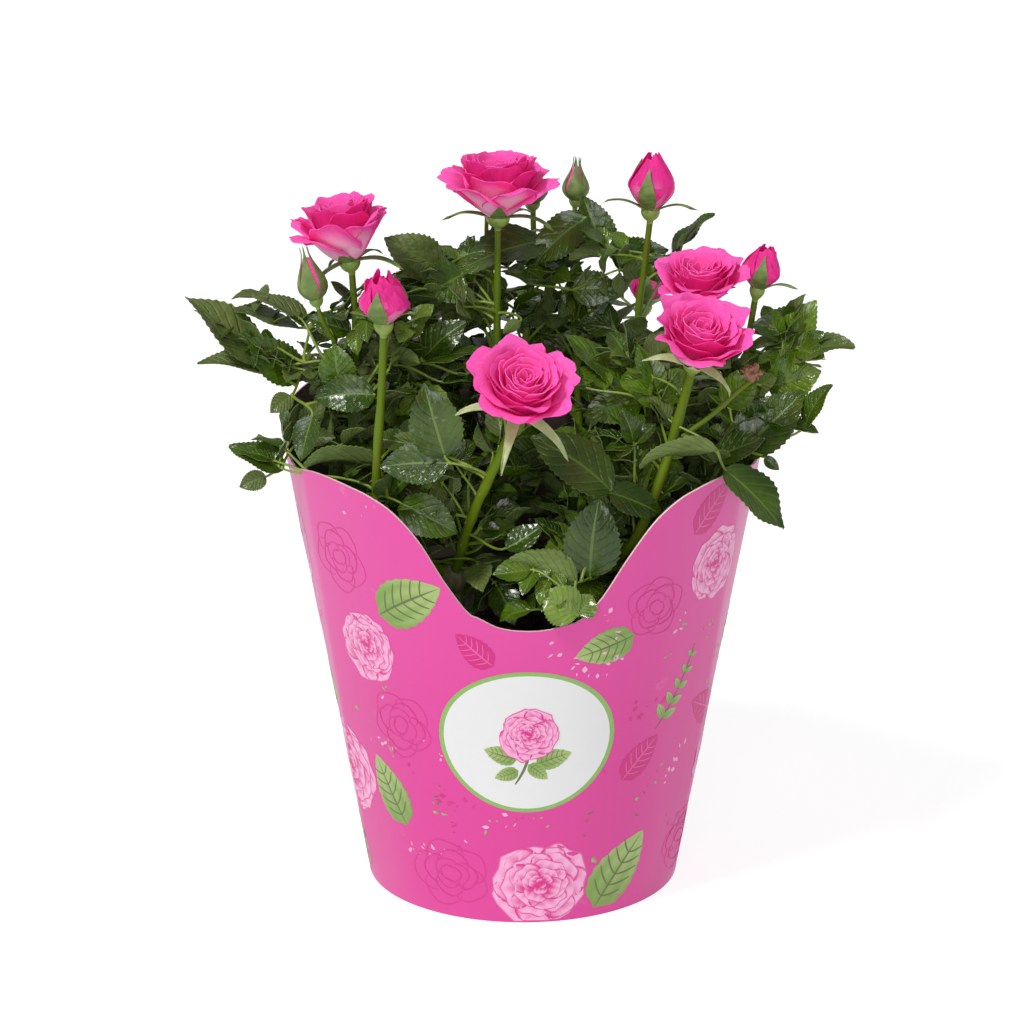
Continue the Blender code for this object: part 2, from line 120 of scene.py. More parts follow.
class Graph:
    """The node tree of one material, round its Principled shader."""

    def __init__(self, name: str) -> None:
        """Start a material with a Principled shader.

        Args:
            name: The material's name.
        """
        self.material = bpy.data.materials.new(name)
        self.material.use_nodes = True
        self.tree = self.material.node_tree
        self.shader = self.tree.nodes["Principled BSDF"]

    def node(self, kind: str, settings: dict | None = None, inputs: dict | None = None, out: int = 0) -> Sock:
        """Add a node.

        Args:
            kind: The node's type.
            settings: Its properties, which are set first.
            inputs: Values or links of its sockets, by index or name.
            out: Index of the output that is returned.

        Returns:
            The chosen output.
        """
        made = self.tree.nodes.new(kind)
        for key, value in (settings or {}).items():
            setattr(made, key, value)
        for key, value in (inputs or {}).items():
            self.link(value, made.inputs[key])
        return Sock(self, made.outputs[out])

    def link(self, value: "Sock | float | tuple", socket: bpy.types.NodeSocket) -> None:
        """Join a value or another node's output to a socket."""
        if isinstance(value, Sock):
            self.tree.links.new(value.socket, socket)
        else:
            socket.default_value = value

    def set(self, **values: "Sock | float | tuple") -> None:
        """Set the shader's sockets, each named with an underscore for a space."""
        for key, value in values.items():
            if isinstance(value, tuple) and len(value) == 3 and key.endswith(("Color", "Tint")):
                value = (*value, 1)
            self.link(value, self.shader.inputs[key.replace("_", " ")])

    def place(self) -> Sock:
        """Object coordinates."""
        return self.node("ShaderNodeTexCoord", out=3)

    def chart(self) -> tuple[Sock, Sock, Sock]:
        """The two parts of the piece's own UV map, and how far off its middle line."""
        uv = self.node("ShaderNodeUVMap", {"uv_map": "chart"})
        across = self.node("ShaderNodeSeparateXYZ", None, {0: uv})
        return across, Sock(self, across.socket.node.outputs[1]), abs(across * 2 - 1)

    def heights(self) -> Sock:
        """Height above the foot, in metres."""
        return self.node("ShaderNodeSeparateXYZ", None, {0: self.place()}, out=2)

    def cloud(self, scale: float, detail: float = 3, rough: float = 0.55) -> Sock:
        """Noise from 0 to 1 on object coordinates."""
        inputs = {"Vector": self.place(), "Scale": scale, "Detail": detail, "Roughness": rough}
        return self.node("ShaderNodeTexNoise", None, inputs)

    def drawn_out(self, scale: float, detail: float, squash: float) -> Sock:
        """Noise from 0 to 1 that is drawn out along the height."""
        place = self.node("ShaderNodeMapping", None, {0: self.place(), 3: (1, 1, squash)})
        return self.node("ShaderNodeTexNoise", None, {"Vector": place, "Scale": scale, "Detail": detail})

    def worn(self, scale: float, middle: float, swing: float = 0.14) -> Sock:
        """A roughness that shifts a little from place to place."""
        return self.cloud(scale) * swing + (middle - swing / 2)

    def blend(self, factor: "Sock | float", first: "Sock | Colour", second: "Sock | Colour") -> Sock:
        """Mix of two colours."""
        pair = [value if isinstance(value, Sock) else (*value, 1) for value in (first, second)]
        return self.node("ShaderNodeMix", {"data_type": "RGBA"}, {0: factor, 6: pair[0], 7: pair[1]}, out=2)

    def bump(self, height: Sock, strength: float, distance: float) -> None:
        """Feed a height to the shader's normal."""
        inputs = {"Strength": strength, "Distance": distance, "Height": height}
        self.set(Normal=self.node("ShaderNodeBump", None, inputs))


# ---- finishes


class Finish:
    """One finish of the plant, which paints one material."""

    name: str

    def make(self) -> bpy.types.Material:
        """Build the material."""
        graph = Graph(self.name)
        self.paint(graph)
        return graph.material


@dataclass(frozen=True)
class LeafFinish(Finish):
    """The upper face of a leaf: glossy green with sunken veins."""

    name: str
    deep: Colour
    light: Colour
    roughness: float = 0.34
    gloss: float = 0.32
    coat: float = 0.4

    def paint(self, graph: Graph) -> None:
        """Set the shader.

        Args:
            graph: The material's nodes.
        """
        _, along, side = graph.chart()
        veins = ((along * 46 - side * 12 + graph.cloud(190, 2) * 3).wave() * 0.5 + 0.5) ** 9
        patches = graph.cloud(55).between(0.35, 0.68)
        body = graph.blend(patches, self.deep, self.light)
        near = graph.blend(side.between(0.35, 0.0) * 0.35, body, self.light)
        graph.set(
            Base_Color=graph.blend(veins * 0.07, near, (0.20, 0.28, 0.06)),
            Roughness=graph.worn(420, self.roughness),
            Specular_IOR_Level=self.gloss,
            Coat_Weight=self.coat,
            Coat_Roughness=0.15,
        )
        graph.bump(graph.cloud(330, 2) * 2.0 + graph.cloud(1100, 2) * 0.3 - veins * 0.6, 0.8, 0.0005)


@dataclass(frozen=True)
class MattFinish(Finish):
    """A soft plant skin: two colours in patches, with a fine grain."""

    name: str
    deep: Colour
    light: Colour
    roughness: float = 0.55
    patch: float = 120
    grain: float = 1500
    depth: float = 0.00012

    def paint(self, graph: Graph) -> None:
        """Set the shader.

        Args:
            graph: The material's nodes.
        """
        patches = graph.cloud(self.patch).between(0.3, 0.72)
        graph.set(
            Base_Color=graph.blend(patches, self.deep, self.light),
            Roughness=graph.worn(self.patch * 3, self.roughness),
        )
        graph.bump(graph.cloud(self.grain, 2), 0.35, self.depth)


@dataclass(frozen=True)
class CaneFinish(Finish):
    """A green cane: lighter at its foot, painted light that lifts the shade on the low canes, and darker
    toward the flower, with fine ridges.
    """

    name: str
    foot: Colour
    tip: Colour
    blush: Colour
    foot_height: float
    tip_height: float

    def paint(self, graph: Graph) -> None:
        """Set the shader.

        Args:
            graph: The material's nodes.
        """
        # painted light: the foot colour is the lighter one, so the low canes, shaded by leaves and flowers,
        # come out lighter
        rise = graph.heights().between(self.foot_height, self.tip_height)
        green = graph.blend(rise, self.foot, self.tip)
        streaks = graph.drawn_out(900, 3, 0.16)
        blush = graph.cloud(70).between(0.56, 0.75)
        graph.set(
            Base_Color=graph.blend(blush * 0.55, green, self.blush),
            Roughness=streaks * 0.2 + 0.36,
            Specular_IOR_Level=0.2,
        )
        graph.bump(streaks, 0.4, 0.0002)


@dataclass(frozen=True)
class PetalFinish(Finish):
    """One face of a petal: a colour at its heart, another at its lip, with fine rays and a painted glow."""

    name: str
    heart: Colour
    lip: Colour
    start: float
    end: float
    edge: float = 0.0
    # colour of the painted glow, which stands in for light shining through the petals
    glow: Colour = (0.5, 0.0, 0.12)

    def paint(self, graph: Graph) -> None:
        """Set the shader.

        Args:
            graph: The material's nodes.
        """
        across, along, side = graph.chart()
        out = along + side * side * self.edge
        rays = ((across * 46 + graph.cloud(260) * 14).wave() * 0.5 + 0.5) ** 2
        patches = graph.cloud(90).between(0.35, 0.7) * 0.3
        # on petal_face the deep heart is partly painted shade of the flower's depths and the pale lip partly
        # painted light
        tone = graph.blend((out - patches * 0.3).between(self.start, self.end), self.heart, self.lip)
        graph.set(
            Base_Color=graph.blend(rays * 0.05, tone, self.heart),
            Roughness=graph.cloud(800) * 0.14 + 0.48,
            Subsurface_Weight=0.35,
            Subsurface_Radius=(1.0, 0.12, 0.45),
            Subsurface_Scale=0.0018,
            Specular_IOR_Level=0.12,
            # painted glow: the petal gives off a little light, lifting its shaded hollows as light through
            # the petals would
            Emission_Color=self.glow,
            Emission_Strength=0.11,
        )
        graph.bump(rays * 0.3 + graph.cloud(420, 3), 0.25, 0.0002)


@dataclass(frozen=True)
class CardFinish(Finish):
    """Printed card: a satin ground that pales upward, the paler top being painted light, with faint rubbed
    marks.
    """

    name: str
    low: Colour
    high: Colour
    roughness: float = 0.42
    gloss: float = 0.36
    coat: float = 0.14

    def paint(self, graph: Graph) -> None:
        """Set the shader.

        Args:
            graph: The material's nodes.
        """
        # painted light: the ground is made paler toward the top, as if the upper card caught more light; the
        # noise adds random mottling
        rise = graph.heights().between(0.02, 0.165)
        lit_top_and_mottling = (rise * 0.85 + graph.cloud(26, 4) * 0.3).between(0.1, 1.0)
        scuffs = graph.cloud(48, 6, 0.75).between(0.62, 0.8)
        ground = graph.blend(lit_top_and_mottling, self.low, self.high)
        graph.set(
            Base_Color=graph.blend(scuffs * 0.25, ground, (0.93, 0.5, 0.7)),
            Roughness=scuffs * 0.2 + self.roughness,
            Specular_IOR_Level=self.gloss,
            Coat_Weight=self.coat,
            Coat_Roughness=0.3,
        )
        graph.bump(graph.cloud(1400, 3), 0.2, 0.00008)


@dataclass(frozen=True)
class InkFinish(Finish):
    """A painted petal or leaf in the print: dark at its foot, pale at its lip, with brush streaks."""

    name: str
    foot: Colour
    lip: Colour
    start: float = 0.2
    end: float = 0.9
    outline: float = 0.0
    streak: float = 0.2

    def paint(self, graph: Graph) -> None:
        """Set the shader.

        Args:
            graph: The material's nodes.
        """
        across, along, side = graph.chart()
        streaks = ((across * 22 + graph.cloud(220) * 2).wave() * 0.5 + 0.5) * self.streak
        tone = (along + streaks - self.streak / 2).between(self.start, self.end)
        drawn = (side.between(0.84, 0.97) + along.between(0.93, 1.0)).between(0.0, 1.0)
        body = graph.blend(tone, self.foot, self.lip)
        graph.set(
            Base_Color=graph.blend(drawn * self.outline, body, self.foot),
            Roughness=graph.cloud(700) * 0.1 + 0.38,
        )
        graph.bump(graph.cloud(1800, 2), 0.2, 0.00003)


@dataclass(frozen=True)
class PlainFinish(Finish):
    """A small even surface: one colour that shifts slightly from place to place."""

    name: str
    colour: Colour
    roughness: float = 0.5
    shift: float = 0.12
    patch: float = 200
    grain: float = 2000
    depth: float = 0.00004

    def paint(self, graph: Graph) -> None:
        """Set the shader.

        Args:
            graph: The material's nodes.
        """
        darker = tuple(part * (1 - self.shift) for part in self.colour)
        lighter = tuple(min(1.0, part * (1 + self.shift)) for part in self.colour)
        graph.set(
            Base_Color=graph.blend(graph.cloud(self.patch), darker, lighter),
            Roughness=graph.worn(self.patch * 4, self.roughness, 0.12),
        )
        graph.bump(graph.cloud(self.grain, 2), 0.25, self.depth)


@dataclass(frozen=True)
class StageFinish(Finish):
    """A studio's white light table."""

    name: str = "stage_white"
    grey: float = 0.32
    glow: float = 0.84

    def paint(self, graph: Graph) -> None:
        """Set the shader.

        Args:
            graph: The material's nodes.
        """
        shade = graph.cloud(3) * 0.02
        graph.set(
            Base_Color=graph.blend(shade, (self.grey,) * 3, (1, 1, 1)),
            Roughness=0.9,
            Specular_IOR_Level=0.0,
            Emission_Color=(1, 1, 1),
            Emission_Strength=self.glow,
        )


@dataclass(frozen=True)
class BarkFinish(Finish):
    """Woody stem: grey-brown with green showing through upright cracks."""

    name: str = "bark"
    ridge: Colour = (0.23, 0.19, 0.11)
    crack: Colour = (0.10, 0.13, 0.04)

    def paint(self, graph: Graph) -> None:
        """Set the shader.

        Args:
            graph: The material's nodes.
        """
        cracks = graph.drawn_out(700, 5, 0.2)
        graph.set(
            Base_Color=graph.blend(cracks.between(0.38, 0.62), self.crack, self.ridge),
            Roughness=cracks * 0.2 + 0.62,
        )
        graph.bump(cracks, 0.7, 0.0005)


@dataclass(frozen=True)
class CompostFinish(Finish):
    """Damp peat: dark damp crumbs mixed with drier ones."""

    name: str = "peat"
    damp: Colour = (0.022, 0.014, 0.009)
    dry: Colour = (0.09, 0.06, 0.035)

    def paint(self, graph: Graph) -> None:
        """Set the shader.

        Args:
            graph: The material's nodes.
        """
        cells = graph.node("ShaderNodeTexVoronoi", None, {"Vector": graph.place(), "Scale": 420.0})
        crumbs = graph.cloud(520, 5, 0.7)
        graph.set(
            Base_Color=graph.blend(crumbs.between(0.4, 0.75), self.damp, self.dry),
            Roughness=crumbs * 0.15 + 0.8,
        )
        graph.bump(crumbs - cells * 0.6, 0.8, 0.001)


class Palette:
    """Every finish on the plant, each made once and kept by name."""

    made: dict[str, bpy.types.Material] = {}
    finishes = (
        LeafFinish("leaf_dark", (0.019, 0.046, 0.001), (0.048, 0.092, 0.003), 0.24),
        LeafFinish("leaf_green", (0.042, 0.090, 0.002), (0.092, 0.160, 0.005), 0.25),
        # leaf_grey: a greyer green, partly the leaf's own colour and partly painted sheen of glossy leaves
        # catching the light
        LeafFinish("leaf_grey", (0.070, 0.102, 0.022), (0.125, 0.165, 0.042), 0.38, 0.3, 0.1),
        LeafFinish("leaf_young", (0.085, 0.150, 0.010), (0.150, 0.225, 0.028), 0.33),
        LeafFinish("leaf_back", (0.085, 0.130, 0.030), (0.150, 0.205, 0.060), 0.6, 0.2, 0.0),
        PlainFinish("leaf_rib", (0.085, 0.145, 0.018), 0.42),
        MattFinish("petiole", (0.090, 0.160, 0.012), (0.210, 0.290, 0.030), 0.42),
        # cane: the lighter foot colour is painted light on the shaded low canes
        CaneFinish("cane", (0.135, 0.205, 0.008), (0.088, 0.142, 0.003), (0.13, 0.09, 0.012), 0.12, 0.2),
        PlainFinish("thorn", (0.28, 0.16, 0.07), 0.45),
        BarkFinish(),
        CompostFinish(),
        # petal_face: the deep heart and pale lip are partly the petal's own colours, partly painted shade in
        # its depths and painted light on its lips
        PetalFinish("petal_face", (0.78, 0.004, 0.200), (0.91, 0.115, 0.450), 0.3, 0.97, 0.1),
        PetalFinish("petal_back", (0.88, 0.42, 0.60), (0.82, 0.060, 0.330), 0.42, 0.94, 0.40),
        PetalFinish("bud_face", (0.58, 0.003, 0.150), (0.64, 0.020, 0.225), 0.2, 0.9),
        PetalFinish("bud_back", (0.72, 0.20, 0.38), (0.64, 0.024, 0.215), 0.15, 0.75, 0.5),
        MattFinish("hip", (0.150, 0.238, 0.036), (0.262, 0.352, 0.080), 0.4, 200),
        MattFinish("sepal", (0.080, 0.138, 0.022), (0.162, 0.226, 0.056), 0.55, 300),
        MattFinish("sepal_pale", (0.300, 0.370, 0.150), (0.430, 0.470, 0.240), 0.6, 300),
        MattFinish("sepal_rose", (0.430, 0.120, 0.110), (0.550, 0.240, 0.200), 0.6, 300),
        MattFinish("withered", (0.150, 0.060, 0.030), (0.350, 0.180, 0.110), 0.8, 500),
        # card_print: the paler high colour is painted light on the upper card
        CardFinish("card_print", (0.565, 0.036, 0.246), (0.605, 0.054, 0.285)),
        PlainFinish("card_cut", (0.72, 0.52, 0.50), 0.7),
        # the card's brown inside, darkened with painted shade
        PlainFinish("card_inside_painted_shade", (0.10, 0.07, 0.055), 0.85, 0.2, 60),
        PlainFinish("nursery_black", (0.018, 0.017, 0.017), 0.45, 0.2),
        PlainFinish("label_white", (0.62, 0.62, 0.625), 0.4, 0.02),
        PlainFinish("label_ring", (0.20, 0.37, 0.09), 0.4),
        InkFinish("print_green", (0.16, 0.27, 0.05), (0.30, 0.40, 0.13), 0.0, 1.0, 0.0, 0.3),
        PlainFinish("print_dark_green", (0.10, 0.13, 0.04), 0.42),
        InkFinish("print_petal", (0.55, 0.008, 0.19), (0.72, 0.34, 0.54), 0.36, 0.98, 0.85, 0.16),
        PlainFinish("print_pale", (0.68, 0.34, 0.50), 0.42, 0.16, 150),
        PlainFinish("print_rose", (0.64, 0.09, 0.30), 0.42, 0.2, 150),
        PlainFinish("print_deep", (0.50, 0.005, 0.17), 0.42, 0.12, 120),
        PlainFinish("print_line", (0.53, 0.016, 0.20), 0.42),
        StageFinish(),
    )

    @classmethod
    def mix(cls) -> None:
        """Make every finish."""
        cls.made = {finish.name: finish.make() for finish in cls.finishes}


# ---- pieces


def mesh_of(bm: Shape, name: str) -> Mesh:
    """The mesh that a bmesh has shaped. The bmesh is freed."""
    mesh = bpy.data.meshes.new(name)
    bm.to_mesh(mesh)
    bm.free()
    return mesh


def extruded(bm: Shape, edges: list) -> tuple[list, list]:
    """Extrude edges, and give the new points and the new edges."""
    grown = bmesh.ops.extrude_edge_only(bm, edges=edges)["geom"]
    kinds = (bmesh.types.BMVert, bmesh.types.BMEdge)
    points, lines = ([item for item in grown if isinstance(item, kind)] for kind in kinds)
    return points, lines


def object_of(name: str, data: bpy.types.ID) -> bpy.types.Object:
    """A new object in the scene, at the origin."""
    made = bpy.data.objects.new(name, data)
    bpy.context.scene.collection.objects.link(made)
    return made


@dataclass
class Piece:
    """One named piece that is gathered from many small shapes."""

    name: str
    finishes: tuple[str, ...]
    slot: str
    replaces: tuple[str, ...] = ()
    bm: Shape = field(default_factory=bmesh.new)

    def take(self, shape: Mesh) -> None:
        """Join a shape to the piece and delete the shape."""
        self.bm.from_mesh(shape)
        bpy.data.meshes.remove(shape)

    def finish(self, weld: float = 0.0, sharp: float = 50) -> None:
        """Turn the gathered shapes into one object that rides on the plant.

        Args:
            weld: Points nearer than this become one.
            sharp: Edges sharper than this many degrees stay crisp.
        """
        if weld:
            bmesh.ops.remove_doubles(self.bm, verts=self.bm.verts[:], dist=weld)
            bmesh.ops.dissolve_degenerate(self.bm, dist=weld, edges=self.bm.edges[:])
        bmesh.ops.recalc_face_normals(self.bm, faces=self.bm.faces[:])
        mesh = mesh_of(self.bm, self.name)
        for name in self.finishes:
            mesh.materials.append(Palette.made[name])
        mesh.shade_smooth()
        mesh.set_sharp_from_angle(angle=math.radians(sharp))
        made = object_of(self.name, mesh)
        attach(made, BODY)
        if self.replaces:
            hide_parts(*self.replaces)
        log.info("%s: %d triangles", self.name, sum(len(face.vertices) - 2 for face in mesh.polygons))


@dataclass(frozen=True)
class Skin:
    """A thin closed skin whose points are (across, along, face), ready to be shaped.

    Across runs from -1 to 1, along from 0 to 1, and face is 0 on the upper side and
    -1 on the lower one.
    """

    columns: tuple[float, ...]
    rows: int
    pointed: bool = False

    def make(self) -> Mesh:
        """Build the skin with finish 0 on top, 1 below and 2 on a narrow middle strip.

        Returns:
            The skin's mesh.
        """
        bm = bmesh.new()
        last = len(self.columns) - 1
        bmesh.ops.create_grid(bm, x_segments=last, y_segments=self.rows, size=0.5)
        for vert in bm.verts:
            column = round((vert.co.x + 0.5) * last)
            vert.co = (self.columns[column], round((vert.co.y + 0.5) * self.rows) / self.rows, 0)
        chart = bm.loops.layers.uv.new("chart")
        for face in bm.faces:
            for loop in face.loops:
                loop[chart].uv = ((loop.vert.co.x + 1) / 2, loop.vert.co.y)
        if self.pointed:
            tip = [vert for vert in bm.verts if vert.co.y > 0.999]
            bmesh.ops.pointmerge(bm, verts=tip, merge_co=(0, 1, 0))
        bmesh.ops.solidify(bm, geom=bm.faces[:], thickness=1.0)
        for vert in bm.verts:
            vert.co.z = -1 if vert.co.z < -0.5 else 0
        for face in bm.faces:
            upper = all(vert.co.z == 0 for vert in face.verts)
            middle = max(abs(vert.co.x) for vert in face.verts) < 0.1
            face.material_index = (2 if middle else 0) if upper else 1
        return mesh_of(bm, "skin")


def cad_mesh(node: str) -> Mesh:
    """The mesh of a node of the frame."""
    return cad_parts[node].data


def bearing(x: float, y: float) -> float:
    """Degrees from the front of a place seen from above."""
    return math.degrees(math.atan2(x, -y))


def nearest_turn(degrees: float) -> float:
    """The same turn, between -180 and 180 degrees."""
    return (degrees + 180) % 360 - 180


def points_of(mesh: Mesh) -> Cloud:
    """The mesh's vertices as rows."""
    flat = np.empty(len(mesh.vertices) * 3)
    mesh.vertices.foreach_get("co", flat)
    return flat.reshape(-1, 3)


def shaped(skin: Mesh, points: Cloud, finishes: Sequence[int] = (0, 1, 2)) -> Mesh:
    """A copy of a skin with its points moved and its finishes renumbered.

    Args:
        skin: The skin.
        points: Where each of its vertices goes.
        finishes: The new number of finish 0, 1 and 2.

    Returns:
        The shaped copy.
    """
    mesh = skin.copy()
    mesh.vertices.foreach_set("co", points.reshape(-1))
    numbers = np.empty(len(mesh.polygons), dtype=np.int32)
    mesh.polygons.foreach_get("material_index", numbers)
    mesh.polygons.foreach_set("material_index", np.array(finishes, dtype=np.int32)[numbers])
    return mesh


def placed(points: Cloud, matrix: Matrix) -> Cloud:
    """The points moved by a matrix."""
    turn = np.array(matrix.to_3x3())
    return points @ turn.T + np.array(matrix.translation)


def matrix_of(x: Vector, y: Vector, z: Vector, origin: Vector) -> Matrix:
    """The matrix of three axes and an origin."""
    rows = ((x[i], y[i], z[i], origin[i]) for i in range(3))
    return Matrix((*rows, (0, 0, 0, 1)))


def frame_of(origin: Vector, along: Vector, face: Vector) -> Matrix:
    """A matrix whose Y axis runs along one direction and whose Z axis leans to another.

    Args:
        origin: Where it stands.
        along: The direction of its Y axis.
        face: The direction that its Z axis turns toward.

    Returns:
        The matrix.
    """
    y = along.normalized()
    x = y.cross(face)
    if x.length < 1e-6:
        x = y.orthogonal()
    x.normalize()
    return matrix_of(x, y, x.cross(y), origin)


def smooth_route(knots: Route, steps: int) -> list[Vector]:
    """A smooth route through the knots.

    Args:
        knots: Points or other vectors to pass through.
        steps: Steps between two knots.

    Returns:
        The route's points.
    """
    first = knots[0] * 2 - knots[1]
    last = knots[-1] * 2 - knots[-2]
    line = [first, *knots, last]
    route = []
    for before, start, end, after in zip(line, line[1:], line[2:], line[3:]):
        for step in range(steps):
            t = step / steps
            route.append(0.5 * (2 * start + (end - before) * t
                                + (2 * before - 5 * start + 4 * end - after) * t * t
                                + (3 * start - before - 3 * end + after) * t * t * t))
    return [*route, knots[-1].copy()]


class Tubes:
    """Round limbs gathered as splines and turned into one mesh."""

    def __init__(self, sides: int) -> None:
        """Start with no limbs.

        Args:
            sides: Sides of every limb, an even number.
        """
        self.curve = bpy.data.curves.new("tubes", "CURVE")
        self.curve.dimensions = "3D"
        self.curve.bevel_depth = 1.0
        self.curve.bevel_resolution = sides // 2 - 2
        self.curve.use_fill_caps = True
        self.curve.resolution_u = 1

    def add(self, route: Route, radii: Sequence[float]) -> None:
        """Add a limb along a route.

        Args:
            route: Its centre line.
            radii: Its radius at each point.
        """
        spline = self.curve.splines.new("POLY")
        spline.points.add(len(route) - 1)
        spline.use_smooth = True
        for point, place, radius in zip(spline.points, route, radii):
            point.co = (*place, 1)
            point.radius = radius

    def mesh(self) -> Mesh:
        """The limbs as one mesh of closed tubes.

        Returns:
            The mesh.
        """
        holder = object_of("tubes", self.curve)
        made = bpy.data.meshes.new_from_object(holder.evaluated_get(bpy.context.evaluated_depsgraph_get()))
        bpy.data.objects.remove(holder)
        bm = bmesh.new()
        bm.from_mesh(made)
        bmesh.ops.remove_doubles(bm, verts=bm.verts[:], dist=0.004 * MM)
        bm.to_mesh(made)
        bm.free()
        return made


# ---- the frame's shapes


@dataclass
class CadLimb:
    """The centre line and thickness of a limb, read from its ringed solid."""

    node: str
    sides: int = 6
    flat: float = 0.01 * MM

    def __post_init__(self) -> None:
        """Find the limb's rings from its foot to its tip."""
        mesh = cad_mesh(self.node)
        points = points_of(mesh)
        places, shared = np.unique(np.round(points, 6), axis=0, return_inverse=True)
        shared = shared.reshape(-1)
        corners = [tuple(shared[i] for i in face.vertices) for face in mesh.polygons]
        near = {index: set() for index in range(len(places))}
        for face in corners:
            for index in face:
                near[index].update(face)
        ring = self._foot(places, corners)
        seen = set(ring)
        self.line: list[Vector] = []
        self.radii: list[float] = []
        while ring:
            middle = places[list(ring)].mean(axis=0)
            self.line.append(Vector(middle))
            self.radii.append(float(np.linalg.norm(places[list(ring)] - middle, axis=1).mean()))
            ring = {other for index in ring for other in near[index]} - seen
            seen |= ring

    def _foot(self, places: Cloud, corners: list[tuple[int, ...]]) -> set[int]:
        """The points of the lower of the limb's two flat ends.

        Args:
            places: The solid's points.
            corners: Its faces, as numbers of points.

        Returns:
            The numbers of that end's points.
        """
        ends = []
        for face in corners:
            a, b, c = (places[index] for index in face[:3])
            normal = np.cross(b - a, c - a)
            normal /= np.linalg.norm(normal)
            level = np.nonzero(abs((places - a) @ normal) < self.flat)[0]
            spread = np.linalg.norm(places[level] - places[level].mean(axis=0), axis=1)
            if len(level) == self.sides and np.ptp(spread) < 0.05 * spread.mean():
                ends.append(set(int(index) for index in level))
        return min(ends, key=lambda end: places[list(end)][:, 2].mean())

    def heading(self) -> Vector:
        """The direction in which the limb ends."""
        return (self.line[-1] - self.line[-2]).normalized()


@dataclass
class CadHead:
    """Size and stance of a flower or bud, read from its solid and its cane's end."""

    node: str
    foot: Vector

    def __post_init__(self) -> None:
        """Measure the solid along and across its axis."""
        away = points_of(cad_mesh(self.node)) - np.array(self.foot)
        self.axis = Vector(away.mean(axis=0)).normalized()
        rise = away @ np.array(self.axis)
        self.height = float(rise.max())
        across = np.linalg.norm(away - rise[:, None] * np.array(self.axis), axis=1)
        self.radius = float(across.max())

    def stance(self) -> Matrix:
        """A matrix that stands a shape made along Z on the cane's end."""
        side = self.axis.cross(Vector((0, -1, 0))).normalized()
        return matrix_of(side, self.axis.cross(side), self.axis, self.foot)


class LeafSpace:
    """The space that the leaf masses fill."""

    def __init__(self, nodes: Sequence[str]) -> None:
        """Read the masses.

        Args:
            nodes: Names of the leaf masses and sprays.
        """
        self.nodes = tuple(nodes)
        self.trees: dict[str, BVHTree] = {}
        self.boxes = {node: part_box(node) for node in self.nodes}
        for node in self.nodes:
            mesh = cad_mesh(node)
            self.trees[node] = BVHTree.FromPolygons([v.co for v in mesh.vertices],
                                                    [tuple(face.vertices) for face in mesh.polygons])

    def holds(self, point: Vector, margin: float) -> bool:
        """Whether a point lies in a mass, or within the margin of one.

        Args:
            point: The place.
            margin: How far outside still counts.

        Returns:
            True if it does.
        """
        for node, tree in self.trees.items():
            low, high = self.boxes[node]
            if any(point[i] < low[i] - margin or point[i] > high[i] + margin for i in range(3)):
                continue
            if tree.find_nearest(point, margin)[0] is not None or self.inside(node, point):
                return True
        return False

    def inside(self, node: str, point: Vector) -> bool:
        """Whether a point lies inside one mass.

        Args:
            node: The mass.
            point: The place.

        Returns:
            True if it does.
        """
        tree = self.trees[node]
        heading = Vector((0.31, 0.17, 0.93)).normalized()
        crossings, start = 0, point
        while crossings < 40:
            hit = tree.ray_cast(start, heading)[0]
            if hit is None:
                break
            crossings += 1
            start = hit + heading * 0.01 * MM
        return crossings % 2 == 1

    def depth(self, node: str, point: Vector) -> tuple[float, Vector]:
        """How deep a point lies in a mass, and which way leads out."""
        place, _, _, distance = self.trees[node].find_nearest(point)
        return distance, (place - point).normalized()


# ---- pot and cover


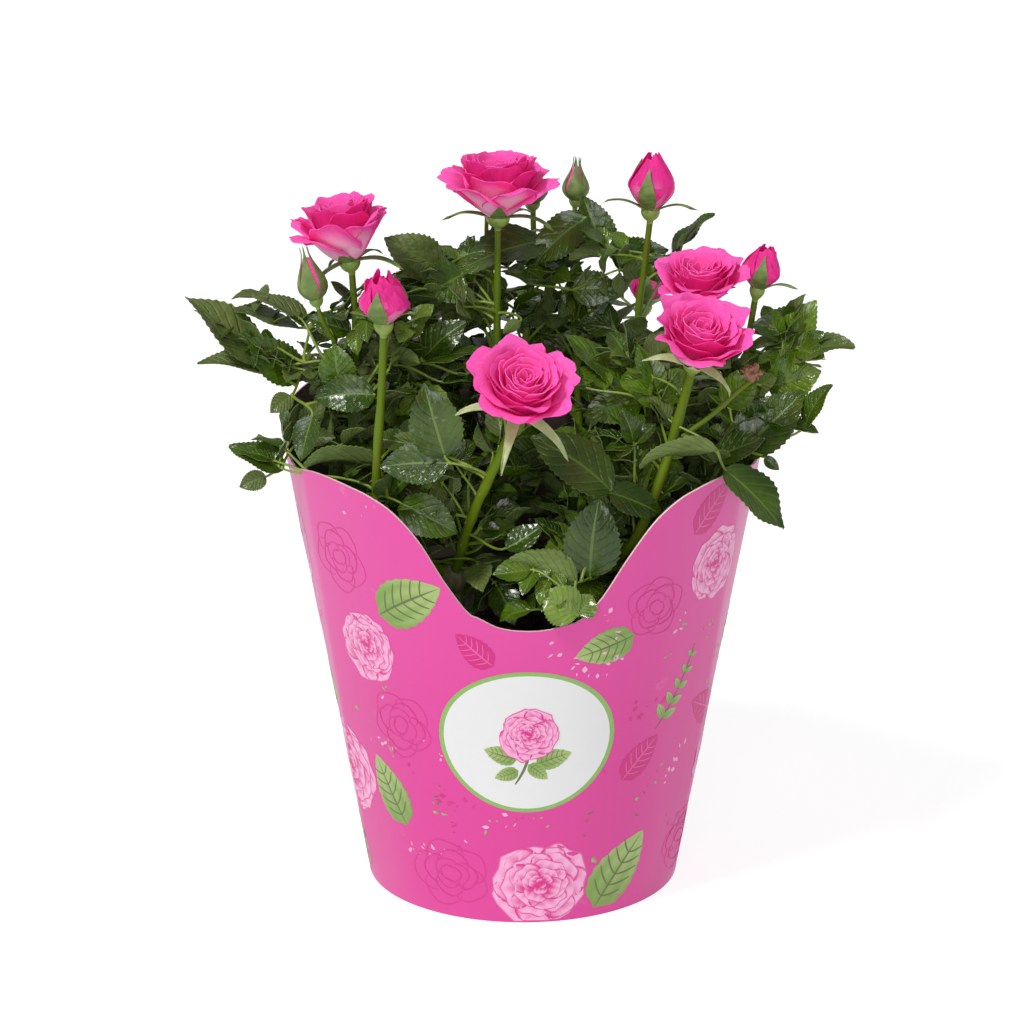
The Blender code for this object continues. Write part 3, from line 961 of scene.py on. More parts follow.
@dataclass
class PotCover:
    """Flared card cover with a scooped rim, a folded side seam and a printed face."""

    node: str = "card_cover"
    steps: int = 216
    rings: int = 26
    card: float = 0.7 * MM
    fold: float = 0.9 * MM
    fold_spread: float = 5.0

    def __post_init__(self) -> None:
        """Read the cover's cone and its rim from the frame."""
        points = points_of(cad_mesh(self.node))
        away = np.hypot(points[:, 0], points[:, 1])
        self.foot = float(away[points[:, 2] < 0.1 * MM].max())
        top = int(points[:, 2].argmax())
        rims = points[points[:, 2] > points[top, 2] - 0.1 * MM]
        reach = np.hypot(rims[:, 0], rims[:, 1]).max()
        self.taper = (float(reach) - self.foot) / float(points[top, 2])
        outer = away > self.foot + self.taper * points[:, 2] - 0.3 * MM
        knots: dict[float, float] = {}
        for x, y, z in points[outer]:
            azimuth = round(bearing(x, y), 1) % 360
            knots[azimuth] = max(float(z), knots.get(azimuth, 0))
        self.knots = sorted(knots.items())

    def rim(self, azimuth: float) -> float:
        """Height of the cut edge at an azimuth in degrees.

        Args:
            azimuth: Degrees about the cover's axis.

        Returns:
            The height in metres.
        """
        count = len(self.knots)
        azimuth %= 360
        index = max((i for i, (place, _) in enumerate(self.knots) if place <= azimuth), default=count - 1)
        span = (self.knots[(index + 1) % count][0] - self.knots[index][0]) % 360 or 360
        t = ((azimuth - self.knots[index][0]) % 360) / span
        a, b, c, d = (self.knots[(index + k) % count][1] for k in (-1, 0, 1, 2))
        curved = (2 * a - 5 * b + 4 * c - d) * t**2
        return 0.5 * (2 * b + (c - a) * t + curved + (3 * b - a - 3 * c + d) * t**3)

    def folded(self, azimuth: float, height: float) -> float:
        """How far the two side folds stand out at a place."""
        fold_turn = 72 - 60 * height
        off = min(abs(nearest_turn(azimuth - side * fold_turn)) for side in (-1, 1))
        crest = math.exp(-off / self.fold_spread) - 0.45 * math.exp(-((off - 14) / 8) ** 2)
        return self.fold * crest

    def surface(self, azimuth: float, height: float, lift: float = 0.0) -> Vector:
        """A point on the cover's printed face.

        Args:
            azimuth: Degrees from the front.
            height: Height above the foot.
            lift: Distance out from the face.

        Returns:
            The point.
        """
        turn = math.radians(azimuth)
        away = self.foot + self.taper * height + self.folded(azimuth, height) + lift
        return Vector((math.sin(turn) * away, -math.cos(turn) * away, height))

    def build(self) -> None:
        """Make the card with its cut edge and its inside, which is painted dark as shade."""
        piece = Piece("cover_card", ("card_print", "card_cut", "card_inside_painted_shade"), "card", (self.node,))
        bm = piece.bm
        bmesh.ops.create_circle(bm, cap_ends=True, segments=self.steps, radius=self.foot)
        edges = bm.edges[:]
        for ring in range(1, self.rings + 1):
            points, edges = extruded(bm, edges)
            for vert in points:
                azimuth = bearing(*vert.co.xy)
                vert.co = self.surface(azimuth, self.rim(azimuth) * ring / self.rings)
        bmesh.ops.recalc_face_normals(bm, faces=bm.faces[:])
        outside = set(bm.verts)
        bmesh.ops.solidify(bm, geom=bm.faces[:], thickness=self.card)
        for face in bm.faces:
            count = sum(vert in outside for vert in face.verts)
            face.material_index = 0 if count == len(face.verts) else (1 if count else 2)
        piece.finish(sharp=35)


@dataclass
class NurseryPot:
    """Black grower's pot with a rolled rim."""

    node: str = "nursery_pot"
    wall: float = 0.9 * MM
    rim: float = 9 * MM
    lip: float = 1.4 * MM
    steps: int = 96

    def build(self) -> None:
        """Turn the pot from its outline."""
        low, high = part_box(self.node)
        outer = high.x
        neck = outer - self.lip
        foot = 0.73 * outer
        outline = [
            (0, low.z + self.wall), (foot - self.wall, low.z + self.wall),
            (neck - self.wall, high.z - self.rim), (neck - self.wall + 0.4 * MM, high.z - 0.6 * MM),
            (neck, high.z), (outer - 0.5 * MM, high.z), (outer, high.z - 0.6 * MM),
            (outer, high.z - self.rim), (neck, high.z - self.rim), (foot, low.z + 1 * MM),
            (foot - 1 * MM, low.z), (0, low.z),
        ]
        piece = Piece("nursery_pot_wall", ("nursery_black",), "pot", (self.node,))
        turn_outline(piece.bm, outline, self.steps)
        piece.finish(weld=0.01 * MM, sharp=40)


def turn_outline(bm: Shape, outline: Sequence[Pair], steps: int, foot: Vector = ORIGIN) -> None:
    """Spin an outline full circle about an upright line.

    Args:
        bm: The bmesh that takes the shape.
        outline: Its radius and height at each corner.
        steps: Steps round the circle.
        foot: A point of the line.
    """
    points = [bm.verts.new((foot.x + away, foot.y, foot.z + height)) for away, height in outline]
    edges = [bm.edges.new(pair) for pair in zip(points, points[1:])]
    line = [*points, *edges]
    bmesh.ops.spin(bm, geom=line, cent=foot, axis=UP, angle=math.tau, steps=steps, use_merge=True)
    bmesh.ops.remove_doubles(bm, verts=bm.verts[:], dist=0.01 * MM)


@dataclass
class Compost:
    """Damp peat in the nursery pot, with loose crumbs on its uneven top."""

    node: str = "compost"
    rings: int = 30
    steps: int = 120
    relief: float = 1.6 * MM
    crumbs: int = 260
    seed: int = SEED + 2

    def build(self) -> None:
        """Make the bed and strew the crumbs."""
        rng = Random(self.seed)
        low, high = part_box(self.node)
        reach = high.x
        outline = [(reach * ring / self.rings, high.z) for ring in range(self.rings + 1)]
        outline += [(reach * 0.99, high.z - 4 * MM), (0.7 * reach, low.z), (0, low.z)]
        bed = Piece("compost_bed", ("peat",), "compost", (self.node,))
        turn_outline(bed.bm, outline, self.steps)
        for vert in bed.bm.verts:
            if vert.co.z > high.z - 0.1 * MM and vert.co.xy.length < reach * 0.98:
                bump = noise.fractal(vert.co * 160, 0.8, 2.0, 4)
                vert.co.z += self.relief * (bump - 0.2)
        bed.finish()
        loose = Piece("compost_crumbs", ("peat",), "compost")
        for _ in range(self.crumbs):
            turn, away = rng.uniform(0, math.tau), reach * 0.94 * math.sqrt(rng.random())
            size = rng.uniform(0.5, 1.7) * MM
            place = Vector((math.cos(turn) * away, math.sin(turn) * away, high.z + size * 0.3))
            squash = Matrix.Diagonal((rng.uniform(0.7, 1.3), rng.uniform(0.6, 1.1), rng.uniform(0.5, 0.9), 1))
            stance = Matrix.Translation(place) @ Matrix.Rotation(rng.uniform(0, math.tau), 4, "Z") @ squash
            bmesh.ops.create_icosphere(loose.bm, subdivisions=1, radius=size, matrix=stance)
        loose.finish()


# ---- the cover's print


class Motif(Enum):
    """What a place on the cover's print shows."""

    BLOSSOM = "blossom"
    LEAF = "leaf"
    DARK_LEAF = "dark leaf"
    OUTLINE = "outline"
    SPRIG = "sprig"


def disc_blank(inner: float) -> Mesh:
    """A flat closed disc or ring of radius 1, whose points are (x, y, face).

    Args:
        inner: Radius of its hole, 0 for none.

    Returns:
        The blank.
    """
    bm = bmesh.new()
    bmesh.ops.create_circle(bm, cap_ends=False, segments=96, radius=1)
    edges = bm.edges[:]
    for reach in ([inner] if inner else [1 - step / 12 for step in range(1, 12)]):
        points, edges = extruded(bm, edges)
        for vert in points:
            vert.co = vert.co.normalized() * reach
    if not inner:
        bmesh.ops.pointmerge(bm, verts=extruded(bm, edges)[0], merge_co=(0, 0, 0))
    bmesh.ops.recalc_face_normals(bm, faces=bm.faces[:])
    bmesh.ops.solidify(bm, geom=bm.faces[:], thickness=1.0)
    for vert in bm.verts:
        vert.co.z = 0 if abs(vert.co.z) < 0.5 else -1
    return mesh_of(bm, "disc")


@dataclass
class CoverPrint:
    """Garden print: blossoms, leaves, drawn outlines, sprigs and specks round the card."""

    cover: PotCover
    ink: float = 0.045 * MM
    label_height: float = 71 * MM
    label_turn: float = 1.0
    label_half: Pair = (30.5 * MM, 27 * MM)
    ring_width: float = 1.7 * MM
    girth: float = 70 * MM
    clusters: int = 80
    seed: int = SEED + 1
    columns: int = 12
    finishes = ("print_green", "print_dark_green", "print_petal", "print_rose", "print_deep",
                "print_line", "label_white", "label_ring", "print_pale")
    green, dark_green, petal_ink, rose, deep, line, white, ring, pale = range(9)

    def __post_init__(self) -> None:
        """Make the blank shapes that the motifs are cut from."""
        self.rng = Random(self.seed)
        self.blade = Skin((-1, -0.55, -0.05, 0.05, 0.55, 1), 14, pointed=True).make()
        self.petal = Skin((-1, -0.5, 0, 0.5, 1), 6).make()
        self.ribbon = Skin((-1, 1), 24).make()
        self.short = Skin((-1, 1), 6).make()
        self.disc = disc_blank(0)
        self.hoop = disc_blank(1 - self.ring_width / self.label_half[0])
        self.piece = Piece("cover_print", self.finishes, "card")
        self.taken: list[Triple] = []

    def wrap(self, points: Cloud, azimuth: float, height: float, layer: int) -> Cloud:
        """Lay flat points on the cover.

        Args:
            points: Rows of across, up and face, in metres and skin faces.
            azimuth: Where the motif's centre lies, in degrees.
            height: Height of its centre.
            layer: How many inks lie under it.

        Returns:
            The points on the cover.
        """
        laid = np.empty_like(points)
        away = self.cover.foot + self.cover.taper * height
        for index, (across, up, face) in enumerate(points):
            turn = azimuth + math.degrees(across / away)
            level = min(height + up, self.cover.rim(turn) - 0.35 * MM)
            lift = self.ink * (layer + 1.4) if face > -0.5 else -0.02 * MM
            laid[index] = self.cover.surface(turn, max(level, 0.6 * MM), lift)
        return laid

    def stamp(self, blank: Mesh, flat: Cloud, spot: Pair, layer: int, ink: int,
              strip: int | None = None) -> None:
        """Print one flat shape.

        Args:
            blank: The blank that it is cut from.
            flat: Its points in the motif's plane.
            spot: Azimuth and height of the motif's centre.
            layer: How many inks lie under it.
            ink: Its finish.
            strip: Its middle strip's finish, where that is another one.
        """
        strip = ink if strip is None else strip
        self.piece.take(shaped(blank, self.wrap(flat, *spot, layer), (ink, ink, strip)))

    @staticmethod
    def turned(points: Cloud, turn: float, shift: Pair = (0.0, 0.0)) -> Cloud:
        """Points turned in the plane, then shifted."""
        moved = points.copy()
        moved[:, 0] = points[:, 0] * math.cos(turn) - points[:, 1] * math.sin(turn) + shift[0]
        moved[:, 1] = points[:, 0] * math.sin(turn) + points[:, 1] * math.cos(turn) + shift[1]
        return moved

    def blade_points(self, length: float, width: float, sweep: float = 0.0) -> Cloud:
        """A flat leaf with a toothed edge that starts at the origin and points up.

        Args:
            length: From foot to tip.
            width: At its widest.
            sweep: How far the tip leans aside.

        Returns:
            The points, in order round the edge.
        """
        points = points_of(self.blade)
        off = abs(points[:, 0])
        along = points[:, 1] + 0.1 * off * (1 - points[:, 1])
        odd = np.round(points[:, 1] * 14) % 2
        half = width / 2 * 2.75 * along**0.6 * (1 - along) ** 0.9
        flat = points.copy()
        flat[:, 0] = points[:, 0] * half * (1 + (off > 0.9) * (0.07 * odd - 0.03)) + sweep * length * along**2
        flat[:, 1] = along * length
        return flat

    def stroke(self, route: Callable[[np.ndarray], Cloud], width: float, blank: Mesh) -> Cloud:
        """A drawn line that thins at its ends.

        Args:
            route: Gives the line's points in the plane for shares of its length.
            width: Its width.
            blank: The ribbon that it is cut from.

        Returns:
            The line's outline points.
        """
        points = points_of(blank)
        share = points[:, 1]
        middle = route(share)
        tangent = route(share + 0.01) - route(share - 0.01)
        tangent /= np.linalg.norm(tangent, axis=1)[:, None]
        half = width / 2 * (0.3 + 0.7 * np.sin(np.pi * np.clip(share, 0.02, 0.98)) ** 0.5)
        flat = points.copy()
        flat[:, 0] = middle[:, 0] - tangent[:, 1] * points[:, 0] * half
        flat[:, 1] = middle[:, 1] + tangent[:, 0] * points[:, 0] * half
        return flat

    def leaf(self, spot: Pair, size: float, turn: float, ink: int, rib: int, layer: int = 0,
             shift: Pair = (0, 0)) -> None:
        """Print a leaf with ribs.

        Args:
            spot: Azimuth and height of the motif's centre.
            size: The leaf's length.
            turn: How far it leans from upright.
            ink: Finish of its blade.
            rib: Finish of its ribs.
            layer: How many inks lie under it.
            shift: Where the leaf's middle lies from the motif's centre.
        """
        body = self.blade_points(size, size * 0.58, 0.06)
        base = (math.sin(turn) * size / 2 + shift[0], -math.cos(turn) * size / 2 + shift[1])
        self.stamp(self.blade, self.turned(body, turn, base), spot, layer, ink, rib)
        for side in (-1, 1):
            for share in (0.16, 0.3, 0.44, 0.58, 0.72):
                reach = size * 0.25 * (1 - abs(share - 0.36) * 1.1)
                start = np.array((0.06 * size * share**2, share * size))

                def route(t: np.ndarray, start: np.ndarray = start, out: float = side * reach) -> Cloud:
                    """The rib from the middle outward."""
                    rise = abs(out) * (0.35 * t + 0.4 * t * t)
                    return np.stack((start[0] + out * t, start[1] + rise), axis=1)

                vein = self.stroke(route, size * 0.02, self.short)
                self.stamp(self.short, self.turned(vein, turn, base), spot, layer + 1, rib)

    def blossom(self, spot: Pair, size: float, turn: float, layer: int = 0, shift: Pair = (0, 0)) -> None:
        """Print a full blossom: rings of ruffled petals, each dark at its foot and pale at its lip.

        Args:
            spot: Azimuth and height of the motif's centre.
            size: The blossom's width.
            turn: How far it is turned.
            layer: How many inks lie under it.
            shift: Where its middle lies from the motif's centre.
        """
        rng, points = self.rng, points_of(self.petal)
        across, along = points[:, 0], points[:, 1]
        rings = ((1.0, 6), (0.79, 5), (0.59, 5), (0.41, 4), (0.25, 3), (0.12, 2))
        for ring, (share, count) in enumerate(rings):
            for index in range(count):
                reach = size / 2 * share * rng.uniform(0.9, 1.06)
                angle = turn + ring * 0.5 + math.tau * index / count + rng.uniform(-0.14, 0.14)
                phase = rng.uniform(0, math.tau)
                bulge = np.sin(np.pi * np.clip(along * 0.7 + 0.05, 0, 1)) ** 0.75
                half = reach * (0.68 - 0.02 * ring) * bulge
                flat = points.copy()
                flat[:, 0] = across * half + 0.05 * reach * np.sin(3 * along + phase)
                lip = 1 - 0.16 * across**2 + 0.05 * np.sin(5 * across + phase)
                flat[:, 1] = reach * along * lip
                middle = (shift[0], shift[1] + 0.03 * size * ring / 5)
                self.stamp(self.petal, self.turned(flat, angle, middle), spot, layer + ring, self.petal_ink)

    def outline(self, spot: Pair, size: float, turn: float) -> None:
        """Draw a loose flower in lines: rings of petal edges round a curl.

        Args:
            spot: Azimuth and height of the motif's centre.
            size: The flower's width.
            turn: How far it is turned.
        """
        rings = ((0.5, 5, 0.85), (0.37, 4, 0.95), (0.25, 3, 1.2), (0.14, 2, 1.7))
        for ring, (share, count, width) in enumerate(rings):
            for index in range(count):
                centre = turn + ring * 0.8 + math.tau * index / count + self.rng.uniform(-0.15, 0.15)
                pull = share * self.rng.uniform(0.9, 1.08)

                def edge(t: np.ndarray, centre: float = centre, pull: float = pull,
                         half: float = width) -> Cloud:
                    """One petal's edge."""
                    angle = centre + (t - 0.5) * 2 * half
                    bulge = np.sin(np.pi * np.clip(t, 0, 1)) ** 0.7
                    away = size * pull * (0.66 + 0.36 * bulge + 0.02 * np.sin(14 * t))
                    return np.stack((away * np.cos(angle), away * np.sin(angle) * 0.94), axis=1)

                line = self.stroke(edge, size * 0.019, self.ribbon)
                self.stamp(self.ribbon, line, spot, ring % 2, self.line)

    def sprig(self, spot: Pair, size: float, turn: float) -> None:
        """Print a thin stalk with small leaves in pairs.

        Args:
            spot: Azimuth and height of the motif's centre.
            size: The sprig's length.
            turn: How far it leans from upright.
        """

        def stalk(t: np.ndarray) -> Cloud:
            """The stalk's middle line."""
            return np.stack((0.12 * size * np.sin(2.4 * t), (t - 0.5) * size), axis=1)

        line = self.stroke(stalk, size * 0.02, self.ribbon)
        self.stamp(self.ribbon, self.turned(line, turn), spot, 0, self.dark_green)
        for number, share in enumerate((0.15, 0.32, 0.5, 0.68, 0.86)):
            place = stalk(np.array([share]))[0]
            for side in (-1, 1):
                length = size * (0.22 - 0.03 * number)
                body = self.turned(self.blade_points(length, length * 0.5), -side * 0.95, tuple(place))
                body = self.turned(body, turn)
                self.stamp(self.blade, body, spot, 1 + number % 2, self.green, self.dark_green)

    def label(self) -> None:
        """Print the pale oval with its green edge and a small rose of its own."""
        spot = (self.label_turn, self.label_height)
        for blank, grow, ink in ((self.disc, 1 - self.ring_width / self.label_half[0], self.white),
                                 (self.hoop, 1.0, self.ring)):
            flat = points_of(blank)
            flat[:, 0] *= self.label_half[0] * grow
            flat[:, 1] *= self.label_half[1] * grow
            self.stamp(blank, flat, spot, 0, ink)

        def stalk(t: np.ndarray) -> Cloud:
            """The stalk's middle line."""
            return np.stack((0.9 * MM - 5 * MM * t * t, (-1 - 15 * t) * MM), axis=1)

        self.stamp(self.ribbon, self.stroke(stalk, 1.0 * MM, self.ribbon), spot, 1, self.dark_green)
        for turn, size, shift in ((-1.2, 13 * MM, (9 * MM, -6 * MM)), (1.35, 12 * MM, (-9 * MM, -5 * MM)),
                                  (-2.2, 9 * MM, (4 * MM, -11 * MM)), (2.0, 9 * MM, (-7 * MM, -12.5 * MM))):
            self.leaf(spot, size, turn, self.green, self.dark_green, 2, shift)
        self.blossom(spot, 20 * MM, 0.3, 4, (0.5 * MM, 3 * MM))

    def clear_of_label(self, azimuth: float, height: float, size: float) -> bool:
        """Whether a motif of this size leaves the label free."""
        away = self.cover.foot + self.cover.taper * self.label_height
        across = math.radians(nearest_turn(azimuth - self.label_turn)) * away
        half = (self.label_half[0] + size * 0.48, self.label_half[1] + size * 0.48)
        return (across / half[0]) ** 2 + ((height - self.label_height) / half[1]) ** 2 > 1

    def free(self, azimuth: float, height: float, size: float) -> bool:
        """Whether a motif of this size leaves the label and the placed motifs free."""
        for turn, level, other in self.taken:
            across = math.radians(nearest_turn(azimuth - turn)) * self.girth
            if math.hypot(across, height - level) < 0.46 * (size + other):
                return False
        return self.clear_of_label(azimuth, height, size)

    def specks(self) -> None:
        """Strew clusters of small dots, dashes and flecks of ink."""
        rng = self.rng
        for _ in range(self.clusters):
            azimuth = rng.uniform(-180, 180)
            height = rng.uniform(8 * MM, self.cover.rim(azimuth) - 6 * MM)
            inks = rng.choice(((self.pale, self.rose), (self.pale, self.green), (self.line, self.deep),
                               (self.dark_green, self.green), (self.pale, self.pale)))
            drift = rng.uniform(0, math.pi)
            for _ in range(rng.randint(5, 13)):
                away = rng.gauss(0, 7 * MM)
                turn = azimuth + math.degrees(away * math.cos(drift) / self.girth) + rng.gauss(0, 1.5)
                level = height + away * math.sin(drift) + rng.gauss(0, 2 * MM)
                size = rng.uniform(0.6, 2.6) * MM
                inside = 3 * MM < level < self.cover.rim(turn) - 2 * MM
                if not (inside and self.clear_of_label(turn, level, size)):
                    continue
                flat = points_of(self.short)
                flat[:, 0] *= size * rng.uniform(0.12, 0.4) * np.sin(np.pi * np.clip(flat[:, 1], 0.04, 0.96))
                flat[:, 1] = (flat[:, 1] - 0.5) * size
                ink = rng.choice(inks)
                flat = self.turned(flat, drift + rng.uniform(-1, 1))
                self.stamp(self.short, flat, (turn, level), 0, ink)

    def build(self) -> None:
        """Print the whole card, row by row, then the label."""
        rng = self.rng
        blossom, leaf, dark, outline, sprig = Motif
        kinds = (blossom, leaf, outline, dark, leaf, sprig, outline, blossom, dark, leaf, outline)
        sizes = {blossom: 32, leaf: 30, dark: 22, outline: 26, sprig: 30}
        number = 0
        for kind, azimuth, height, size, turn in (
            (leaf, -31, 121, 30, -1.0), (blossom, -47, 99, 27, 0.4), (leaf, 22, 105, 22, 1.9),
            (dark, -13, 105, 17, 0.9), (sprig, 47, 84, 32, -0.4), (outline, 36, 117, 24, 0.2),
            (outline, -53, 130, 25, 1.0), (blossom, 57, 126, 28, 0.8), (outline, -38, 72, 25, 2.0),
            (dark, 37, 60, 20, -0.7), (leaf, -47, 44, 27, 0.5),
        ):
            self.taken.append((azimuth, height * MM, size * MM))
            self.motif(kind, (azimuth, height * MM), size * MM, turn)
        for row, height in enumerate((18, 45, 72, 99, 126, 150)):
            for column in range(self.columns):
                azimuth = 360 / self.columns * (column + row % 2 * 0.5 + 0.25) + rng.uniform(-4, 4)
                level = height * MM + rng.uniform(-3.5, 3.5) * MM
                kind = kinds[number % len(kinds)]
                size = sizes[kind] * MM * rng.uniform(0.88, 1.08)
                turn = rng.uniform(-1.7, 1.7)
                if level > self.cover.rim(azimuth) - 0.3 * size or not self.free(azimuth, level, size):
                    continue
                number += 1
                self.motif(kind, (azimuth, level), size, turn)
        self.specks()
        self.label()
        for blank in (self.blade, self.petal, self.ribbon, self.short, self.disc, self.hoop):
            bpy.data.meshes.remove(blank)
        self.piece.finish()

    def motif(self, kind: Motif, spot: Pair, size: float, turn: float) -> None:
        """Print one motif.

        Args:
            kind: What it shows.
            spot: Azimuth and height of its centre.
            size: Its length or width.
            turn: How far it is turned.
        """
        if kind is Motif.BLOSSOM:
            self.blossom(spot, size, turn)
        elif kind is Motif.LEAF:
            self.leaf(spot, size, turn, self.green, self.dark_green)
        elif kind is Motif.DARK_LEAF:
            self.leaf(spot, size, turn, self.deep, self.rose)
        elif kind is Motif.OUTLINE:
            self.outline(spot, size, turn)
        else:
            self.sprig(spot, size, turn)


# ---- stems and canes


@dataclass
class WoodyStems:
    """Short woody cuttings with a rounded knuckle where the canes leave."""

    nodes: tuple[str, ...] = ("stem_1", "stem_2", "stem_3", "stem_4")
    waist: float = 3.3 * MM
    foot: float = 4.4 * MM
    flare: float = 2.0 * MM
    relief: float = 0.45 * MM
    steps: int = 28
    rings: int = 26

    def build(self) -> None:
        """Turn each stem and raise its bark."""
        for node in self.nodes:
            low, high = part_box(node)
            middle = Vector(((low.x + high.x) / 2, (low.y + high.y) / 2, low.z))
            height = high.z - low.z
            knuckle = 6 * MM
            outline = []
            for ring in range(self.rings + 1):
                share = ring / self.rings
                rise = share * height
                from_top = height - rise
                ball = math.sqrt(max(0.0, knuckle**2 - (from_top - knuckle) ** 2))
                trunk = self.waist + (self.foot - self.waist) * (1 - share) ** 2
                trunk += self.flare * max(0.0, 1 - rise / (4 * MM)) ** 2
                outline.append((max(ball, trunk if from_top > knuckle else 0.0), rise))
            piece = Piece(f"{node}_wood", ("bark",), "wood", (node,))
            turn_outline(piece.bm, [(0, 0), *outline], self.steps, middle)
            axis = Vector((middle.x, middle.y, 0))
            for vert in piece.bm.verts:
                out = Vector((vert.co.x, vert.co.y, 0)) - axis
                if out.length > 0.5 * MM:
                    x, y, z = vert.co
                    bark = noise.fractal(Vector((x * 700, y * 700, z * 150)), 0.7, 2.0, 3)
                    vert.co += out.normalized() * self.relief * bark
            piece.finish()


@dataclass
class Canes:
    """Green canes and side shoots, with swollen joints and small hooked prickles."""

    limbs: dict[str, CadLimb]
    sides: int = 16
    prickle: float = 1.5 * MM
    joint_gap: float = 17 * MM
    seed: int = SEED + 3

    def build(self) -> None:
        """Make every cane as a piece of its own."""
        rng = Random(self.seed)
        for name, limb in self.limbs.items():
            route = smooth_route(limb.line, 5)
            radii = [float(part[0]) for part in smooth_route([Vector((r, 0, 0)) for r in limb.radii], 5)]
            radii = [radius * (0.82 + 0.05 * noise.noise(place * 260)) for place, radius in zip(route, radii)]
            joints = self.joints(route)
            for joint in joints:
                for step in (-1, 0, 1):
                    if 0 < joint + step < len(route) - 1:
                        radii[joint + step] *= 1.16 if step == 0 else 1.07
            tubes = Tubes(self.sides)
            tubes.add(route, radii)
            piece = Piece(f"{name}_skin", ("cane", "thorn"), "cane", (name,))
            piece.take(tubes.mesh())
            self.prickles(piece, route, radii, rng)
            piece.finish()

    def joints(self, route: Route) -> list[int]:
        """The route's points where leaves leave the cane.

        Args:
            route: The cane's centre line.

        Returns:
            The numbers of those points.
        """
        found, gone = [], 0.0
        for index in range(1, len(route) - 4):
            gone += (route[index] - route[index - 1]).length
            if gone > self.joint_gap:
                found.append(index)
                gone = 0.0
        return found

    def prickles(self, piece: Piece, route: Route, radii: Sequence[float],
                 rng: Random) -> None:
        """Add a few hooked prickles that lean down the cane.

        Args:
            piece: The cane's piece.
            route: The cane's centre line.
            radii: Its radius at each point.
            rng: Where their places come from.
        """
        for index in range(4, len(route) - 8, 3):
            if rng.random() < 0.45 or radii[index] < 1.2 * MM:
                continue
            along = (route[index + 1] - route[index - 1]).normalized()
            out = Matrix.Rotation(rng.uniform(0, math.tau), 3, along) @ along.orthogonal().normalized()
            size = self.prickle * rng.uniform(0.7, 1.1)
            foot = route[index] + out * radii[index] * 0.75
            cone = bmesh.ops.create_cone(piece.bm, cap_ends=True, segments=8, radius1=size * 0.42,
                                         radius2=0.03 * MM, depth=size)["verts"]
            stance = frame_of(foot, along, out)
            for vert in cone:
                rise = vert.co.z / size + 0.5
                local = Vector((vert.co.x * 0.6, vert.co.y - 0.5 * size * rise * rise, rise * size))
                vert.co = stance @ local
            for face in {face for vert in cone for face in vert.link_faces}:
                face.material_index = 1


# ---- flowers


class Stage(Enum):
    """How far a flower has opened."""

    OPEN = "open"
    HALF = "half"
    TIGHT = "tight"


@dataclass(frozen=True)
class Tongue:
    """A petal or sepal: a thin tongue that rises from a ring round the flower's axis.

    Feet and lips are (radius, height). Start and end are the degrees above the level
    at which it leaves its foot and reaches its lip.
    """

    foot: Pair
    lip: Pair
    start: float
    end: float
    half: float
    turn: float
    wrap: float = 2.4 * MM
    drop: float = 0.14
    pull: float = 0.42
    curl: float = 0.0
    roll: float = 0.0
    swirl: float = 0.0
    ruffle: float = 0.0
    phase: float = 0.0
    thick: float = 0.28 * MM
    taper: bool = False
    hold: float = 1.3
    peak: float = 2.4
    notch: float = 0.0
    share: float = 1.0
    lift: float = 0.0

    def width(self, along: np.ndarray) -> np.ndarray:
        """Half width at shares of the tongue's length."""
        if self.taper:
            return self.half * (1 - along**self.hold) ** 0.85
        grown = 0.36 + 0.64 * np.sin(np.clip(along / 0.72, 0, 1) * np.pi / 2)
        return self.half * grown * (1 - 0.16 * np.clip((along - 0.72) / 0.28, 0, 1) ** 2)

    def surface(self, across: np.ndarray, along: np.ndarray) -> Cloud:
        """Points of the upper face.

        Args:
            across: From -1 to 1 across the tongue.
            along: From 0 to 1 along it.

        Returns:
            The points, in the flower's own frame.
        """
        off = np.abs(across)
        ragged = self.notch * np.sin(9 * across + 3 * self.phase) * along**4
        reach = along * (1 - self.drop * off**self.peak + ragged)
        foot, lip = np.array(self.foot), np.array(self.lip)
        pull = np.linalg.norm(lip - foot) * self.pull
        start, end = math.radians(self.start), math.radians(self.end)
        first = foot + pull * np.array((math.cos(start), math.sin(start)))
        second = lip - pull * np.array((math.cos(end), math.sin(end)))
        t = reach[:, None] * self.share
        line = (1 - t) ** 3 * foot + 3 * (1 - t) ** 2 * t * first + 3 * (1 - t) * t * t * second + t**3 * lip
        rolled = np.clip((reach - 0.78) / 0.22, 0, 1) ** 2
        away = line[:, 0] + self.roll * off**3 * along**2 + self.swirl * across * along + self.curl * rolled
        away = away + self.lift * np.minimum(1, along * 5)
        height = line[:, 1] - self.roll * 0.8 * off**3 * along**3 - self.curl * 0.7 * rolled**1.5
        height = height + self.ruffle * along**3 * np.sin(4.2 * across + self.phase)
        away = away + self.ruffle * along**2 * np.cos(5.7 * across + 2 * self.phase)
        turn = self.turn + across * self.width(along) / np.maximum(line[:, 0], self.wrap)
        return np.stack((away * np.cos(turn), away * np.sin(turn), height), axis=1)

    def points(self, skin: Cloud) -> Cloud:
        """The skin's points bent into the tongue, with its lower face set back.

        Args:
            skin: Rows of across, along and face.

        Returns:
            The bent points.
        """
        across, along = skin[:, 0], skin[:, 1]
        face = self.surface(across, along)
        inner = np.clip(across, -0.96, 0.96)
        middle = np.clip(along, 0.02, 0.96)
        step = 0.02
        side = self.surface(inner + step, middle) - self.surface(inner - step, middle)
        rise = self.surface(inner, middle + step) - self.surface(inner, middle - step)
        normal = np.cross(side, rise)
        normal /= np.maximum(np.linalg.norm(normal, axis=1), 1e-12)[:, None]
        return face - normal * (skin[:, 2] * self.thick)[:, None]


SEPAL = {"thick": 0.35 * MM, "taper": True}


@dataclass(frozen=True)
class FlowerPlan:
    """What grows on one cane's end."""

    stage: Stage
    petals: int
    seed: int
    sepal: str = "sepal"
    sepal_length: float = 15 * MM
    droop: Pair = (-38, 12)
    spread: float = 1.0
    hanging: bool = False


